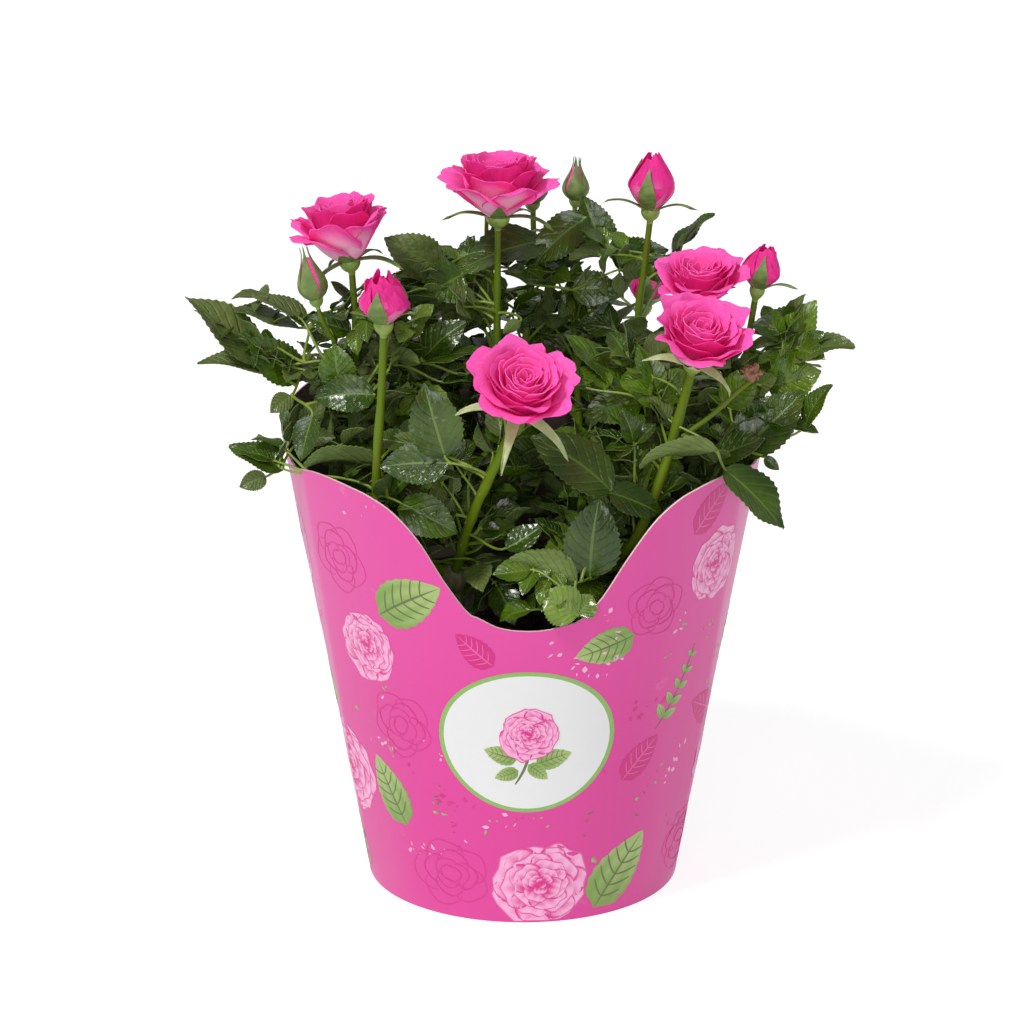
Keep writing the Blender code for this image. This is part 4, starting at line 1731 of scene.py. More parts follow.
@dataclass
class Flower:
    """A rose or bud with its hip, sepals and petals, on one cane's end."""

    head: CadHead
    plan: FlowerPlan
    cane: float
    petal_skin: Mesh
    sepal_skin: Mesh
    hip_height: float = 5.2 * MM
    finishes = ("petal_face", "petal_back", "hip", "sepal", "sepal_pale", "sepal_rose",
                "bud_face", "bud_back")

    def __post_init__(self) -> None:
        """Start the piece and its random numbers."""
        self.rng = Random(self.plan.seed)
        slot = "petal" if self.plan.stage is Stage.OPEN else "bud"
        self.piece = Piece(f"{self.head.node}_flower", self.finishes, slot, (self.head.node,))
        self.stance = self.head.stance()
        share = {Stage.OPEN: 0.205, Stage.HALF: 0.42, Stage.TIGHT: 0.5}[self.plan.stage]
        self.hip_radius = self.head.radius * share
        if self.plan.stage is Stage.TIGHT:
            self.hip_height = 3.6 * MM
        self.sepal_foot = (self.hip_radius * 0.8, self.hip_height - 0.5 * MM)

    def lay(self, tongue: Tongue, skin: Mesh, upper: int, lower: int) -> None:
        """Add one tongue, with a finish for its upper and its lower face."""
        points = placed(tongue.points(points_of(skin)), self.stance)
        self.piece.take(shaped(skin, points, (upper, lower, upper)))

    def hip(self) -> None:
        """Turn the hip under the flower."""
        top, reach = self.hip_height, self.hip_radius
        outline = [
            (0, -0.4 * MM), (self.cane, -0.4 * MM), (self.cane * 1.08, 0.08 * top),
            (reach * 0.66, 0.24 * top), (reach * 0.86, 0.42 * top), (reach * 0.97, 0.6 * top),
            (reach, 0.76 * top), (reach * 0.93, 0.9 * top), (reach * 0.84, top), (0, top),
        ]
        self.revolve(outline, 2)

    def revolve(self, outline: Sequence[Pair], finish: int) -> None:
        """Join a shape turned about the flower's axis, in one finish.

        Args:
            outline: Pairs of radius and height.
            finish: The number of the finish.
        """
        bm = bmesh.new()
        turn_outline(bm, outline, 24)
        bmesh.ops.transform(bm, matrix=self.stance, verts=bm.verts[:])
        for face in bm.faces:
            face.material_index = finish
        self.piece.take(mesh_of(bm, "turned"))

    def open_petals(self) -> None:
        """Lay the petals of an open rose, from its heart to its outermost ring."""
        rng, reach = self.rng, self.head.radius
        base = self.hip_height - 0.6 * MM
        tall = self.head.height - base
        for index in range(self.plan.petals):
            t = index / (self.plan.petals - 1)
            outer = min(1.0, max(0.0, (t - 0.66) / 0.22))
            fall = outer * rng.uniform(0.55, 1.1) * self.plan.spread
            dome = 0.84 + 0.11 * math.sin(min(1.0, t / 0.45) * math.pi / 2)
            dome -= 0.06 * max(0.0, (t - 0.45) / 0.55) + 0.30 * fall
            share = 0.05 + 0.79 * t**0.85 + 0.17 * outer * rng.uniform(0.5, 1.1)
            away = reach * share * rng.uniform(0.95, 1.03)
            petal = Tongue(
                foot=((0.6 + 2.2 * t) * MM, base),
                lip=(away, base + tall * dome * rng.uniform(0.95, 1.02)),
                start=82 - 34 * t**0.8 - 20 * fall,
                end=100 - 36 * t**1.5 - 44 * fall + rng.uniform(-9, 9),
                half=reach * (0.24 + 0.42 * t - 0.10 * outer) * rng.uniform(0.92, 1.08),
                turn=index * GOLDEN + rng.uniform(-0.16, 0.16),
                drop=0.20 + 0.16 * t,
                peak=3.6 + rng.random(),
                notch=0.010,
                curl=(0.5 + 1.7 * t) * MM * rng.uniform(0.7, 1.3),
                roll=reach * 0.10 * t**2 * rng.uniform(0.3, 1.3),
                swirl=(0.6 * MM) * (1 - t),
                ruffle=(0.25 + 0.5 * t + 0.15 * outer) * MM * rng.uniform(0.6, 1.2),
                phase=rng.uniform(0, math.tau),
            )
            self.lay(petal, self.petal_skin, 0, 0 if t < 0.5 else (7 if t < 0.76 else 1))

    def shell(self, lip: float, height: float, **more: float) -> Tongue:
        """A tongue that follows a bud's round side.

        Args:
            lip: Radius at its lip, as a share of the bud's.
            height: Height of its lip, as a share of the bud's.
            more: Other fields of the tongue.

        Returns:
            The tongue.
        """
        reach, base = self.head.radius, self.hip_height - 0.5 * MM
        tall = (self.head.height - base) * height
        tight = self.plan.stage is Stage.TIGHT
        fields = {"foot": (self.hip_radius * 0.7, base), "lip": (reach * lip, base + tall),
                  "start": 34.0 if tight else 45.0, "end": 93.0 if tight else 114.0,
                  "pull": (1.84 if tight else 1.52) * reach / tall, "wrap": reach, "drop": 0.0, "turn": 0.0}
        return Tongue(**{**fields, **more})

    def furled_petals(self) -> None:
        """Lay the overlapping petals of a half-open bud."""
        rng, reach, spread = self.rng, self.head.radius, self.plan.spread
        for index in range(self.plan.petals):
            t = index / (self.plan.petals - 1)
            petal = self.shell(
                (0.12 + 0.08 * min(1.0, 1.4 * spread) + 0.32 * t * spread) * rng.uniform(0.9, 1.1),
                rng.uniform(0.87, 0.93) * (1 - 0.13 * t),
                end=120 - 16 * t * spread + rng.uniform(-5, 5),
                half=reach * (0.80 + 0.35 * t),
                curl=0.8 * MM * t * spread,
                turn=index * GOLDEN + rng.uniform(-0.1, 0.1),
                drop=0.24, peak=3.4, notch=0.012 * spread,
                roll=0.6 * MM * t * spread, swirl=0.7 * MM, ruffle=0.3 * MM * spread,
                phase=rng.uniform(0, math.tau),
            )
            self.lay(petal, self.petal_skin, 6, 7)

    def core(self, finish: int, width: float, share: float) -> None:
        """Fill a bud with a smooth body of shares of its width and of its side's length."""
        curve = self.shell(0.12, 1.0 if width > 0.9 else 0.9, half=0.0, share=share)
        rises = np.linspace(0.0, 1.0, 14)
        side = curve.surface(np.zeros(14), rises)
        outline = [(float(math.hypot(x, y)) * width, float(z)) for x, y, z in side]
        self.revolve([(0, outline[0][1]), *outline, (0, outline[-1][1])], finish)

    def sepals(self) -> None:
        """Lay five sepals: spread under an open flower, against a closed one."""
        rng, plan, reach = self.rng, self.plan, self.head.radius
        finish = self.finishes.index(plan.sepal)
        for index in range(5):
            turn = -1.7 + math.tau * index / 5 + rng.uniform(-0.2, 0.2)
            if plan.stage is Stage.TIGHT:
                tongue = self.shell(0.11, rng.uniform(0.97, 1.04), half=reach * 0.70, turn=turn, hold=2.0,
                                    lift=0.1 * MM, curl=rng.uniform(0, 0.8) * MM, **SEPAL)
            elif plan.stage is Stage.HALF and index in (0, 2, 3):
                tongue = self.shell(0.3, 0.96, half=reach * rng.uniform(0.52, 0.6), turn=turn, hold=1.0,
                                    lift=0.9 * MM, share=rng.uniform(0.76, 0.86), **SEPAL)
            elif plan.stage is Stage.OPEN and index == 0 and not plan.hanging:
                rise = self.hip_height + 0.26 * (self.head.height - self.hip_height)
                tongue = Tongue(self.sepal_foot, (reach * 0.5, rise), 30, 66, 3.4 * MM, turn,
                                wrap=4 * MM, drop=0, **SEPAL)
            else:
                tongue = self.spread_sepal(turn)
            under = self.finishes.index("sepal_pale") if plan.sepal == "sepal_pale" else finish
            self.lay(tongue, self.sepal_skin, under, finish)

    def spread_sepal(self, turn: float) -> Tongue:
        """A sepal that stands away from the flower and droops at its tip.

        Args:
            turn: Its place round the flower.

        Returns:
            The sepal.
        """
        rng, plan = self.rng, self.plan
        foot = self.sepal_foot
        length = plan.sepal_length * rng.uniform(0.85, 1.15)
        lean = rng.uniform(*plan.droop)
        bend = math.radians(lean)
        lip = (foot[0] + length * math.cos(bend), foot[1] + length * math.sin(bend))
        return Tongue(foot, lip, lean + 26, lean - 30, 2.3 * MM, turn, wrap=3.4 * MM, drop=0,
                      ruffle=0.5 * MM, phase=rng.uniform(0, math.tau), **SEPAL)

    def build(self) -> None:
        """Grow the whole flower."""
        self.hip()
        self.sepals()
        if self.plan.stage is Stage.OPEN:
            self.open_petals()
        elif self.plan.stage is Stage.HALF:
            self.core(6, 0.80, 0.86)
            self.furled_petals()
        else:
            self.core(7, 0.93, 0.82)
        self.piece.finish(sharp=75)


OPEN, HALF, TIGHT = Stage
PLANS = {
    "rose_left": FlowerPlan(OPEN, 34, 11, spread=0.8),
    "rose_top": FlowerPlan(OPEN, 36, 23, droop=(-14, 4)),
    "rose_front": FlowerPlan(OPEN, 44, 5, "sepal_pale", 20 * MM, (-38, -6), 0.8, True),
    "rose_right": FlowerPlan(OPEN, 38, 31, spread=0.6),
    "rose_front_right": FlowerPlan(OPEN, 38, 17, "sepal_pale", 13 * MM, (-45, -5), 0.25),
    "rose_back": FlowerPlan(OPEN, 36, 41),
    "bud_tall": FlowerPlan(HALF, 9, 3, sepal_length=14 * MM, droop=(5, 35), spread=0.4),
    "bud_half_open": FlowerPlan(HALF, 11, 8, sepal_length=11 * MM, droop=(20, 55), spread=1.3),
    "bud_left": FlowerPlan(TIGHT, 0, 13),
    "bud_middle": FlowerPlan(TIGHT, 0, 19),
    "bud_right": FlowerPlan(HALF, 9, 29, sepal_length=13 * MM, droop=(0, 50), spread=0.8),
    "bud_hidden": FlowerPlan(TIGHT, 0, 37),
    "bud_centre": FlowerPlan(TIGHT, 0, 43),
    "bud_back": FlowerPlan(HALF, 10, 47, sepal_length=12 * MM, droop=(0, 40), spread=0.9),
}


@dataclass
class WitheredFlower:
    """A dried flower left on the end of a side shoot."""

    shoot: CadLimb
    skin: Mesh
    petals: int = 9
    reach: float = 4.6 * MM
    seed: int = SEED + 4

    def build(self) -> None:
        """Crumple the small brown petals onto the shoot's end."""
        rng, skin = Random(self.seed), self.skin
        piece = Piece("withered_flower", ("withered", "sepal_rose"), "bud")
        stance = frame_of(self.shoot.line[-1], Vector((1, 0, 0)), self.shoot.heading())
        for index in range(self.petals):
            t = index / (self.petals - 1)
            lip = (self.reach * (0.3 + 0.6 * t), self.reach * rng.uniform(0.5, 1.5))
            tongue = Tongue((0.3 * MM, -0.5 * MM), lip, rng.uniform(20, 60), rng.uniform(-40, 120), 2.0 * MM,
                            index * 2.4, wrap=1.5 * MM, ruffle=0.8 * MM, phase=rng.uniform(0, 6), drop=0.3)
            finishes = (0, 0, 0) if index % 3 else (1, 0, 1)
            piece.take(shaped(skin, placed(tongue.points(points_of(skin)), stance), finishes))
        piece.finish()


# ---- leaves


class Tint(Enum):
    """A leaflet's age and surface, each tint one joined piece."""

    DARK = "leaf_dark"
    GREEN = "leaf_green"
    GREY = "leaf_grey"
    YOUNG = "leaf_young"


@dataclass(frozen=True)
class Leaflet:
    """One leaf blade from the end of its stalk to its tip."""

    base: Vector
    tip: Vector
    face: Vector
    width: float
    tint: Tint
    bend: float
    fold: float


@dataclass(frozen=True)
class NamedLeaf:
    """A leaf with a place of its own: base and tip in millimetres, and its width seen from the front."""

    base: Triple
    tip: Triple
    shown: float
    tint: Tint = Tint.DARK
    under: bool = False


FRONT = Vector((0, -0.954, 0.299))

DARK, GREEN, GREY, YOUNG = Tint
NAMED_LEAVES = tuple(NamedLeaf(row[:3], row[3:6], *row[6:]) for row in (
    (-89, -14, 189, -115, -12, 212, 11.9, GREY), (-76, -12, 183, -94, -18, 199, 14),
    (-87, -16, 186, -111, -18, 190, 6.3, GREY), (-74, -4, 200, -93, -4, 211, 6.3, GREY),
    (-77, -2, 198, -102, -6, 206, 5.6, GREY), (-59, -6, 198, -74, -6, 203, 9),
    (-62, -24, 183, -64, -22, 198, 12.6, GREEN), (-50, -30, 182, -71, -28, 180, 12.6),
    (-79, -20, 179, -86, -24, 174, 7, GREY), (-71, -34, 176, -75, -38, 161, 9),
    (-81, -34, 157, -100, -30, 164, 9), (-87, -36, 155, -96, -38, 152, 7, GREY),
    (-49, -42, 162, -74, -44, 162, 6.3, GREEN, True), (-25, -60, 167, -48, -58, 165, 14),
    (-26, -60, 169, -33, -58, 194, 17.5), (-28, 14, 215, -48, 10, 227, 15.4, GREY),
    (-21, 6, 215, -34, 0, 210, 15.4), (-59, 0, 207, -66, 0, 214, 3.5), (8, 24, 223, -24, 16, 213, 14),
    (22, 24, 231, 4, 20, 215, 14), (30, 38, 215, 21, 42, 235, 13.3), (17, 20, 206, 34, 20, 206, 12.3),
    (39, -20, 178, 14, -10, 198, 10.5, GREEN), (40, -22, 177, 20, -24, 173, 12.6, GREEN),
    (-1, 0, 200, -7, -2, 196, 4.2, GREY, True), (-35, -10, 188, -19, -8, 202, 11.9),
    (-35, -14, 189, -13, -14, 193, 5.6), (31, 34, 214, 51, 30, 218, 13.3), (52, 32, 216, 67, 36, 230, 4.6),
    (98, 8, 198, 78, 2, 198, 12.6), (89, 2, 185, 101, 6, 206, 13.3, YOUNG),
    (89, -4, 187, 114, -4, 192, 9.1, GREY), (84, -6, 178, 102, -10, 185, 15.4, GREEN),
    (73, -20, 158, 96, -14, 179, 17.5), (65, -26, 159, 82, -30, 167, 9.8),
    (96, -20, 168, 105, -20, 183, 6.3), (82, -26, 159, 87, -28, 155, 4),
    (64, -56, 170, 38, -58, 165, 5.6, GREEN, True), (67, -50, 162, 87, -54, 142, 12.6),
    (28, -60, 157, 46, -56, 148, 10.5), (67, -36, 181, 78, -40, 191, 11.9, GREEN),
    (39, -30, 181, 47, -32, 189, 9), (29, -62, 158, 2, -60, 176, 16.8), (31, -50, 158, 24, -46, 176, 5.6),
    (22, -64, 129, 25, -62, 156, 18.9), (18, -68, 128, -5, -64, 135, 11.9, GREEN, True),
    (18, -75, 119, 6, -72, 126, 14, YOUNG), (18, -75, 119, 23, -72, 125, 9, YOUNG),
    (-41, -56, 152, -22, -58, 142, 14), (-6, -56, 136, 7, -54, 144, 8),
    (-29, 15, 203, -47, 12, 213, 14, GREEN),
))


class Network:
    """Every limb that can carry another, as points with a direction."""

    gap = 1.5 * MM

    def __init__(self) -> None:
        """Start with no limbs."""
        self.places: list[Vector] = []
        self.ways: list[Vector] = []

    def add(self, route: Route) -> None:
        """Take in a limb's centre line, at points a gap apart.

        Args:
            route: The limb's centre line.
        """
        gone = self.gap
        for index in range(1, len(route)):
            gone += (route[index] - route[index - 1]).length
            if gone >= self.gap:
                gone = 0.0
                self.places.append(route[index])
                self.ways.append((route[index] - route[index - 1]).normalized())

    def reach(self, target: Vector, wanted: float) -> int:
        """Index of the point that is about the wanted distance from a target, and rather below it.

        Args:
            target: The target.
            wanted: The wanted distance.

        Returns:
            The index.
        """
        cloud = np.array(self.places)
        away = cloud - np.array(target)
        distance = np.linalg.norm(away, axis=1)
        above = np.maximum(away[:, 2], 0)
        cost = np.abs(distance - wanted) + distance * 0.25 + above * 1.35
        return int(cost.argmin())


@dataclass
class Foliage:
    """All leaves, their stalks and the green twigs that carry them."""

    space: LeafSpace
    cover: PotCover
    limbs: dict[str, CadLimb]
    heads: list[CadHead]
    seed: int = SEED
    margin: float = 3.5 * MM
    thick: float = 0.26 * MM
    spacing: float = 11.5 * MM
    low: float = 152 * MM
    low_margin: float = 15 * MM
    bowl: float = 112 * MM
    bowl_front: float = -42 * MM
    bowl_tries: int = 1500
    shown_from: float = 118 * MM
    shown_room: float = 4.5 * MM
    reach: float = 36 * MM

    def __post_init__(self) -> None:
        """Make the blanks and the network that leaves grow from."""
        self.rng = Random(self.seed)
        columns = (-1, -0.55, -0.06, 0.06, 0.55, 1)
        self.rows = {False: 9, True: 28}
        self.blanks = {
            False: Skin(columns, self.rows[False], pointed=True).make(),
            True: Skin((-1, -0.7, -0.35, -0.05, 0.05, 0.35, 0.7, 1), self.rows[True], pointed=True).make(),
        }
        self.pieces = {}
        for tint in Tint:
            finishes = (tint.value, "leaf_back", "leaf_rib")
            self.pieces[tint] = Piece(f"leaves_{tint.name.lower()}", finishes, "leaf")
        self.stalks = Tubes(6)
        self.twigs = Tubes(8)
        self.network = Network()
        for limb in self.limbs.values():
            self.network.add(smooth_route(limb.line, 12))
        self.count = 0
        self.canes = KDTree(len(self.network.places))
        for index, place in enumerate(self.network.places):
            self.canes.insert(place, index)
        self.canes.balance()
        fronts = [smooth_route(self.limbs[node].line, 3) for node in ("cane_front", "cane_front_right")]
        self.shown = [place for line in fronts for place in line if place.z > self.shown_from]

    # ---- one leaflet

    def blade(self, leaf: Leaflet, fine: bool) -> Cloud:
        """The points of a leaflet: toothed edge, sunken veins, bent along its length.

        Args:
            leaf: The leaflet.
            fine: Whether it is one of the closely seen ones.

        Returns:
            Its points.
        """
        rng, points = self.rng, points_of(self.blanks[fine])
        length = (leaf.tip - leaf.base).length
        across, along, face = points[:, 0], points[:, 1], points[:, 2]
        off = np.abs(across)
        odd = np.round(along * self.rows[fine]) % 2
        half = leaf.width / 2 * (3.05 * along**0.62 * (1 - along) ** 1.12 + 0.05 * (1 - along))
        half = half * (1 + (off > 0.9) * np.where(odd > 0, 0.04, -0.045))
        tooth = 0.008 if fine else 0.012
        place = along + 0.13 * off * along * (1 - along) * 1.6 + (off > 0.9) * odd * tooth
        side = across * half
        quilt = -np.sin(along * 46 - off * 12) * 0.12 if fine else np.where(odd > 0, 0.07, -0.07)
        lift = leaf.fold * np.abs(side) + quilt * MM * off * (1 - off) * 4
        lift = lift + rng.uniform(0.4, 1.3) * 0.05 * leaf.width * off**2 * np.sin(
            along * rng.uniform(6, 11) + rng.uniform(0, 6) + (across > 0) * 1.7)
        lift = lift - np.where(off < 0.1, 0.22 * MM, 0) * (face == 0)
        lift = lift + face * self.thick
        side = side + length * rng.uniform(-0.05, 0.05) * np.sin(np.pi * along)
        bend = leaf.bend if abs(leaf.bend) > 0.05 else 0.05
        radius = length / (2 * math.sin(bend / 2))
        turn = bend * (place - 0.5)
        y = radius * (np.sin(turn) + math.sin(bend / 2)) + lift * np.sin(turn)
        z = radius * (np.cos(turn) - math.cos(bend / 2)) + lift * np.cos(turn)
        stance = frame_of(leaf.base, leaf.tip - leaf.base, leaf.face)
        return placed(np.stack((side, y, z), axis=1), stance)

    def put(self, leaf: Leaflet, fine: bool = False) -> None:
        """Add a leaflet to the piece of its tint."""
        self.pieces[leaf.tint].take(shaped(self.blanks[fine], self.blade(leaf, fine)))
        self.count += 1

    def fits(self, leaf: Leaflet) -> bool:
        """Whether a leaflet stays in the leaf masses, off the flowers and inside the card.

        Args:
            leaf: The leaflet.

        Returns:
            True if it does.
        """
        side = (leaf.tip - leaf.base).cross(leaf.face).normalized() * leaf.width * 0.45
        middle = leaf.base.lerp(leaf.tip, 0.45)
        spots = (leaf.tip, middle + side, middle - side, leaf.base.lerp(leaf.tip, 0.75))
        for spot in spots:
            if not self.space.holds(spot, self.margin if spot.z > self.low else self.low_margin):
                return False
        if any(self.hits(spot, 1.2 * MM) or self.veils(spot) for spot in (leaf.base, *spots, middle)):
            return False
        return self.canes.find(middle)[2] > 2.6 * MM

    def veils(self, spot: Vector) -> bool:
        """Whether a leaf here would stand before one of the front canes.

        Args:
            spot: The leaf's place.

        Returns:
            True if it would.
        """
        for place in self.shown:
            gap = spot - place
            ahead = gap.dot(FRONT)
            if ahead > 0 and (gap - FRONT * ahead).length < self.shown_room:
                return True
        return False

    def hits(self, spot: Vector, room: float) -> bool:
        """Whether a point is in a flower or through the card.

        Args:
            spot: The point.
            room: The room to leave round it.

        Returns:
            True if it is.
        """
        for head in self.heads:
            rise = (spot - head.foot).dot(head.axis)
            if -1 * MM < rise < head.height + room:
                away = (spot - head.foot - head.axis * rise).length
                if away < head.radius + room:
                    return True
        azimuth = bearing(spot.x, spot.y)
        wall = self.cover.foot + self.cover.taper * spot.z
        if spot.z < self.cover.rim(azimuth) + 2 * MM:
            return math.hypot(spot.x, spot.y) > wall - 2.2 * MM
        return False

    # ---- stalks

    def stalk(self, start: int, end: Vector, heading: Vector, radii: Pair, twig: bool) -> list[Vector]:
        """Grow a stalk from the network to a point.

        Args:
            start: Index of the network's point that it leaves.
            end: Where it ends.
            heading: Its direction at its end.
            radii: Radius at its foot and at its end.
            twig: Whether it can carry others.

        Returns:
            Its route.
        """
        foot = self.network.places[start]
        span = (end - foot).length
        leave = ((end - foot).normalized() + self.network.ways[start] * 0.4 + UP * 0.15).normalized()
        first, second = foot + leave * span * 0.3, end - heading * span * 0.25
        steps = 9
        route, sizes = [], []
        for step in range(steps + 1):
            t = step / steps
            route.append(foot * (1 - t) ** 3 + first * 3 * t * (1 - t) ** 2
                         + second * 3 * t * t * (1 - t) + end * t**3)
            sizes.append(radii[0] + (radii[1] - radii[0]) * t + 0.35 * radii[0] * max(0.0, 1 - 5 * t))
        (self.twigs if twig else self.stalks).add(route, sizes)
        if twig:
            self.network.add(route[1:])
        return route

    # ---- leaves with a place of their own

    def named(self) -> None:
        """Place the closely seen leaves, each on a stalk from the nearest limb."""
        for spec in NAMED_LEAVES:
            base, tip = (Vector(place) * MM for place in (spec.base, spec.tip))
            along = tip - base
            length = along.length
            width = max(spec.shown * MM, 0.6 * length)
            tilt = math.acos(min(1.0, spec.shown * MM / width))
            toward = (FRONT - along.normalized() * FRONT.dot(along.normalized())).normalized()
            over = along.normalized().cross(toward)
            if over.z < 0:
                over = -over
            face = toward * math.cos(tilt) + over * math.sin(tilt)
            if spec.under:
                face = over * math.sin(tilt) - toward * math.cos(tilt)
            bend, fold = self.rng.uniform(0.25, 0.7), self.rng.uniform(0.1, 0.28)
            self.put(Leaflet(base, tip, face, width, spec.tint, bend, fold), fine=True)
            start = self.network.reach(base, 0.0)
            self.stalk(start, base + along * 0.03, along.normalized(), (0.55 * MM, 0.42 * MM), twig=True)

    # ---- leaves that grow by rule

    def apart(self, spot: Vector, found: list[tuple[Vector, Vector]]) -> bool:
        """Whether a place keeps its distance from those already found."""
        return all((spot - other).length > self.spacing for other, _ in found)

    def targets(self) -> list[tuple[Vector, Vector]]:
        """Places for leaf tips, spread through the masses, with the way out of each mass.

        Returns:
            Pairs of place and direction.
        """
        found: list[tuple[Vector, Vector]] = []
        for node in self.space.nodes:
            low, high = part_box(node)
            volume = (high.x - low.x) * (high.y - low.y) * (high.z - low.z)
            for _ in range(int(volume / (self.spacing**3) * 26)):
                spot = Vector([self.rng.uniform(low[i], high[i]) for i in range(3)])
                if not self.space.inside(node, spot):
                    continue
                deep, out = self.space.depth(node, spot)
                if (deep > 9 * MM and self.rng.random() > 0.2) or (spot.z > 0.17 and self.rng.random() > 0.8):
                    continue
                if self.apart(spot, found) and not self.hits(spot, 2 * MM):
                    found.append((spot, out))
        for _ in range(self.bowl_tries):
            turn, level = self.rng.uniform(0, math.tau), self.rng.uniform(self.bowl, self.low)
            away = math.sqrt(self.rng.random()) * (self.cover.foot + self.cover.taper * level - 9 * MM)
            spot = Vector((math.sin(turn) * away, -math.cos(turn) * away, level))
            if spot.y > self.bowl_front and self.apart(spot, found):
                found.append((spot, Vector((spot.x, spot.y, 50 * MM)).normalized()))
        return found

    def tint(self, spot: Vector) -> Tint:
        """A tint for a leaf: darker low down and inside, younger on top.

        Args:
            spot: The leaf's place.

        Returns:
            The tint.
        """
        chance = self.rng.random()
        top = (spot.z - 0.15) / 0.08
        if chance < 0.05 + 0.05 * top:
            return YOUNG
        # grey leaves, partly painted sheen, come more often at the sides
        if chance < (0.22 if abs(spot.x) < 60 * MM else 0.36):
            return GREY
        return GREEN if chance < 0.6 else DARK

    def compound(self, start: int, target: Vector, out: Vector) -> None:
        """Grow a leaf of three, five or seven leaflets.

        Args:
            start: Index of the network's point that carries it.
            target: Where its end leaflet's tip goes.
            out: The way out of the foliage there.
        """
        rng = self.rng
        foot = self.network.places[start]
        span = (target - foot).length
        size = min(max(0.46 * span, 12 * MM), 25 * MM) * rng.uniform(0.9, 1.08)
        sag = Vector((0, 0, rng.uniform(-0.5, 0.15)))
        heading = ((target - foot).normalized() * 1.4 + out * 0.5 + sag).normalized()
        join = target - heading * size
        face = (UP * rng.uniform(0.5, 0.9) + out * rng.uniform(0.3, 0.9)
                + Vector([rng.uniform(-0.3, 0.3) for _ in range(3)])).normalized()
        tint = self.tint(target)
        width = size * rng.uniform(0.6, 0.7)
        leaves = [Leaflet(join, target, face, width, tint, rng.uniform(0.2, 0.9), rng.uniform(0.1, 0.4))]
        if not self.fits(leaves[0]):
            return
        route = self.stalk(start, join + heading * 0.4 * MM, heading, (0.55 * MM, 0.36 * MM), twig=False)
        pairs = 1 if (join - foot).length < 16 * MM else (2 if rng.random() < 0.8 else 3)
        side = heading.cross(face).normalized()
        for pair in range(pairs):
            place = route[len(route) - 1 - round((1.6 + 2.2 * pair) * 9 / max(6, 10 - pair))]
            grown = size * (0.84 - 0.14 * pair)
            for hand in (-1, 1):
                way = heading * rng.uniform(0.35, 0.6) + side * hand + face * rng.uniform(-0.25, 0.15)
                way.normalize()
                base = place + way * 0.9 * MM
                tilted = (face + side * hand * rng.uniform(-0.25, 0.35)).normalized()
                tip = base + way * grown * rng.uniform(0.88, 1.05)
                leaf = Leaflet(base, tip, tilted, grown * rng.uniform(0.58, 0.7), tint,
                               rng.uniform(0.2, 0.9), rng.uniform(0.1, 0.4))
                if self.fits(leaf):
                    leaves.append(leaf)
                    self.stalks.add([place, base + way * 0.3 * MM], [0.34 * MM, 0.3 * MM])
        for leaf in leaves:
            self.put(leaf)

    def grow(self) -> None:
        """Fill the masses: each target gets a leaf, on a new twig where no limb is near."""
        reach = self.reach
        targets = self.targets()
        cloud = np.array(self.network.places)

        def nearness(item: tuple[Vector, Vector]) -> float:
            """Distance from a target to the nearest limb."""
            return float(np.linalg.norm(cloud - np.array(item[0]), axis=1).min())

        for target, out in sorted(targets, key=nearness):
            start = self.network.reach(target, reach * 0.8)
            foot = self.network.places[start]
            gap = (target - foot).length
            if gap > reach * 1.35:
                way = (target - foot).normalized()
                end = foot + way * (gap - reach * 0.85)
                if not self.hits(end, 1 * MM):
                    self.stalk(start, end, (way + UP * 0.25).normalized(), (0.95 * MM, 0.7 * MM), twig=True)
                    start = self.network.reach(target, reach * 0.8)
            self.compound(start, target, out)
        log.info("%d leaf targets, %d leaflets", len(targets), self.count)

    def finish(self) -> None:
        """Join every kind into its own piece."""
        nodes = list(self.space.nodes)
        for number, piece in enumerate(self.pieces.values()):
            piece.replaces = tuple(nodes[number::len(self.pieces)])
            piece.finish()
        for name, tubes in (("leaf_stalks", self.stalks), ("twigs", self.twigs)):
            piece = Piece(name, ("petiole",), "cane")
            piece.take(tubes.mesh())
            piece.finish()
        for blank in self.blanks.values():
            bpy.data.meshes.remove(blank)


# ---- studio


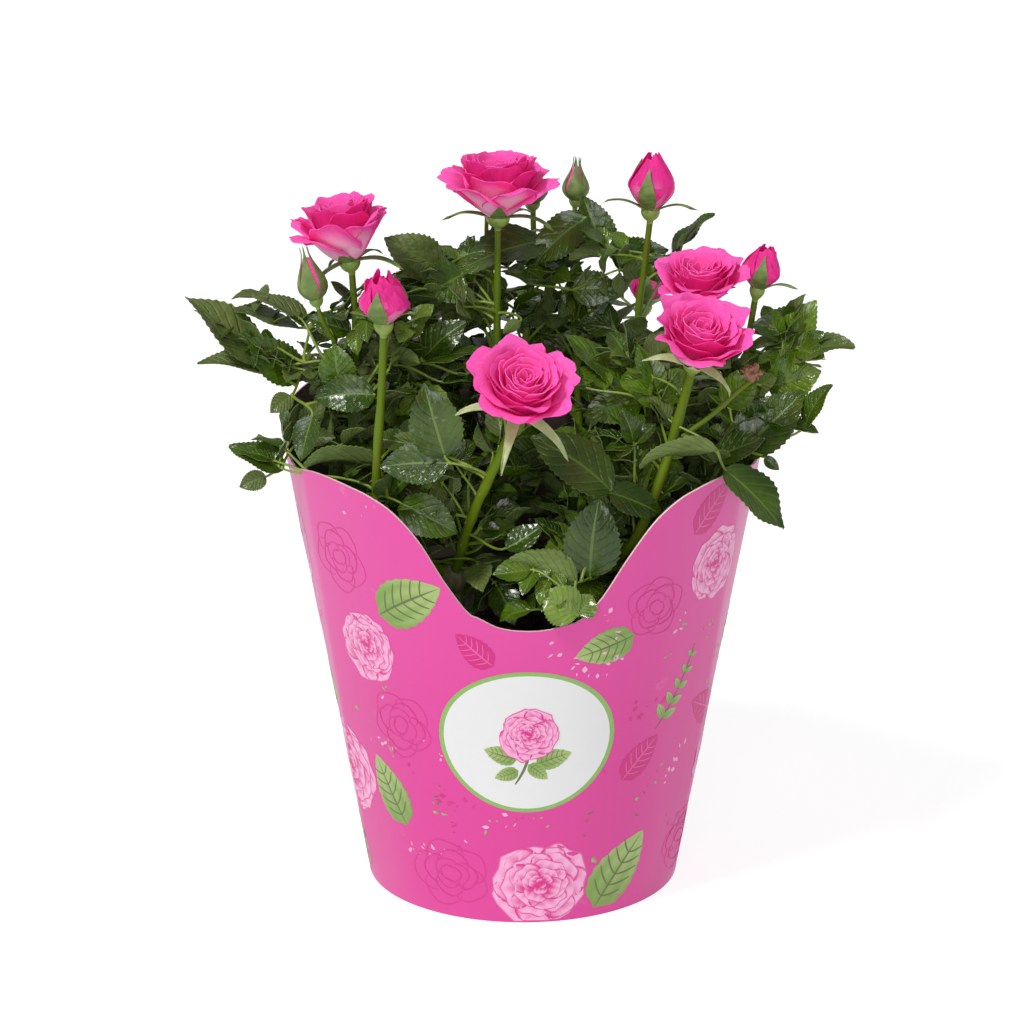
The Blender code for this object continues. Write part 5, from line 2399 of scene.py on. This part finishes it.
@dataclass
class Studio:
    """A pale floor, soft lights and the camera."""

    distance: float = 1.3
    tilt: float = 17.37
    aim: Triple = (-0.0039, 0.0, 0.1313)
    lens: float = 131.0

    def build(self) -> None:
        """Set everything up."""
        self.camera()
        self.floor()
        self.world()
        self.light("key", Vector((-0.50, -0.50, 1.0)), 11, 2.2)
        self.light("fill", Vector((-0.08, -1.0, 0.32)), 30, 1.1)

    def camera(self) -> None:
        """Stand the camera before the plant, a little above it."""
        data = bpy.data.cameras.new("camera")
        data.lens = self.lens
        data.sensor_width = 36
        data.clip_end = 50
        made = object_of("camera", data)
        turn = math.radians(self.tilt)
        back = Vector((0, -math.cos(turn), math.sin(turn))) * self.distance
        made.location = Vector(self.aim) + back
        made.rotation_euler = (-back).to_track_quat("-Z", "Y").to_euler()
        bpy.context.scene.camera = made

    def floor(self) -> None:
        """Lay the pale floor."""
        bm = bmesh.new()
        bmesh.ops.create_grid(bm, x_segments=2, y_segments=2, size=20)
        mesh = mesh_of(bm, "floor")
        mesh.materials.append(Palette.made["stage_white"])
        made = object_of("floor", mesh)

    def world(self) -> None:
        """Light everything softly from all round."""
        world = bpy.data.worlds.new("world")
        world.use_nodes = True
        background = world.node_tree.nodes["Background"]
        background.inputs[0].default_value = (1, 1, 1, 1)
        background.inputs[1].default_value = 0.3
        bpy.context.scene.world = world
        bpy.context.scene.view_settings.view_transform = "Standard"

    def light(self, name: str, come: Vector, spread: float, strength: float) -> None:
        """Add a distant soft light.

        Args:
            name: Its name.
            come: The direction that it comes from.
            spread: Its width in degrees.
            strength: Its strength.
        """
        data = bpy.data.lights.new(name, "SUN")
        data.angle = math.radians(spread)
        data.energy = strength
        made = object_of(name, data)
        made.location = come * 2
        made.rotation_euler = come.to_track_quat("Z", "Y").to_euler()


# ---- the whole plant


def main() -> None:
    """Build the rose bush, its cover and its studio."""
    Palette.mix()
    Studio().build()
    cover = PotCover()
    cover.build()
    CoverPrint(cover).build()
    NurseryPot().build()
    Compost().build()
    WoodyStems().build()

    limbs = {node: CadLimb(node) for node in sorted(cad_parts) if node.startswith(("cane_", "shoot_"))}
    Canes(limbs).build()
    petal_skin = Skin(tuple(i / 5 - 1 for i in range(11)), 10).make()
    sepal_skin = Skin((-1, -0.5, 0, 0.5, 1), 9, pointed=True).make()
    heads = []
    for node, plan in PLANS.items():
        low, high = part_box(node)
        middle = (low + high) / 2
        limb = min(limbs.values(), key=lambda limb: (limb.line[-1] - middle).length)
        head = CadHead(node, limb.line[-1])
        heads.append(head)
        Flower(head, plan, 0.84 * limb.radii[-1], petal_skin, sepal_skin).build()
    WitheredFlower(limbs["shoot_right"], petal_skin).build()
    for skin in (petal_skin, sepal_skin):
        bpy.data.meshes.remove(skin)

    masses = [node for node in sorted(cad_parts) if node.startswith(("leaves_", "spray_"))]
    foliage = Foliage(LeafSpace(masses), cover, limbs, heads)
    foliage.named()
    foliage.grow()
    foliage.finish()


if __name__ == "__main__":
    main()
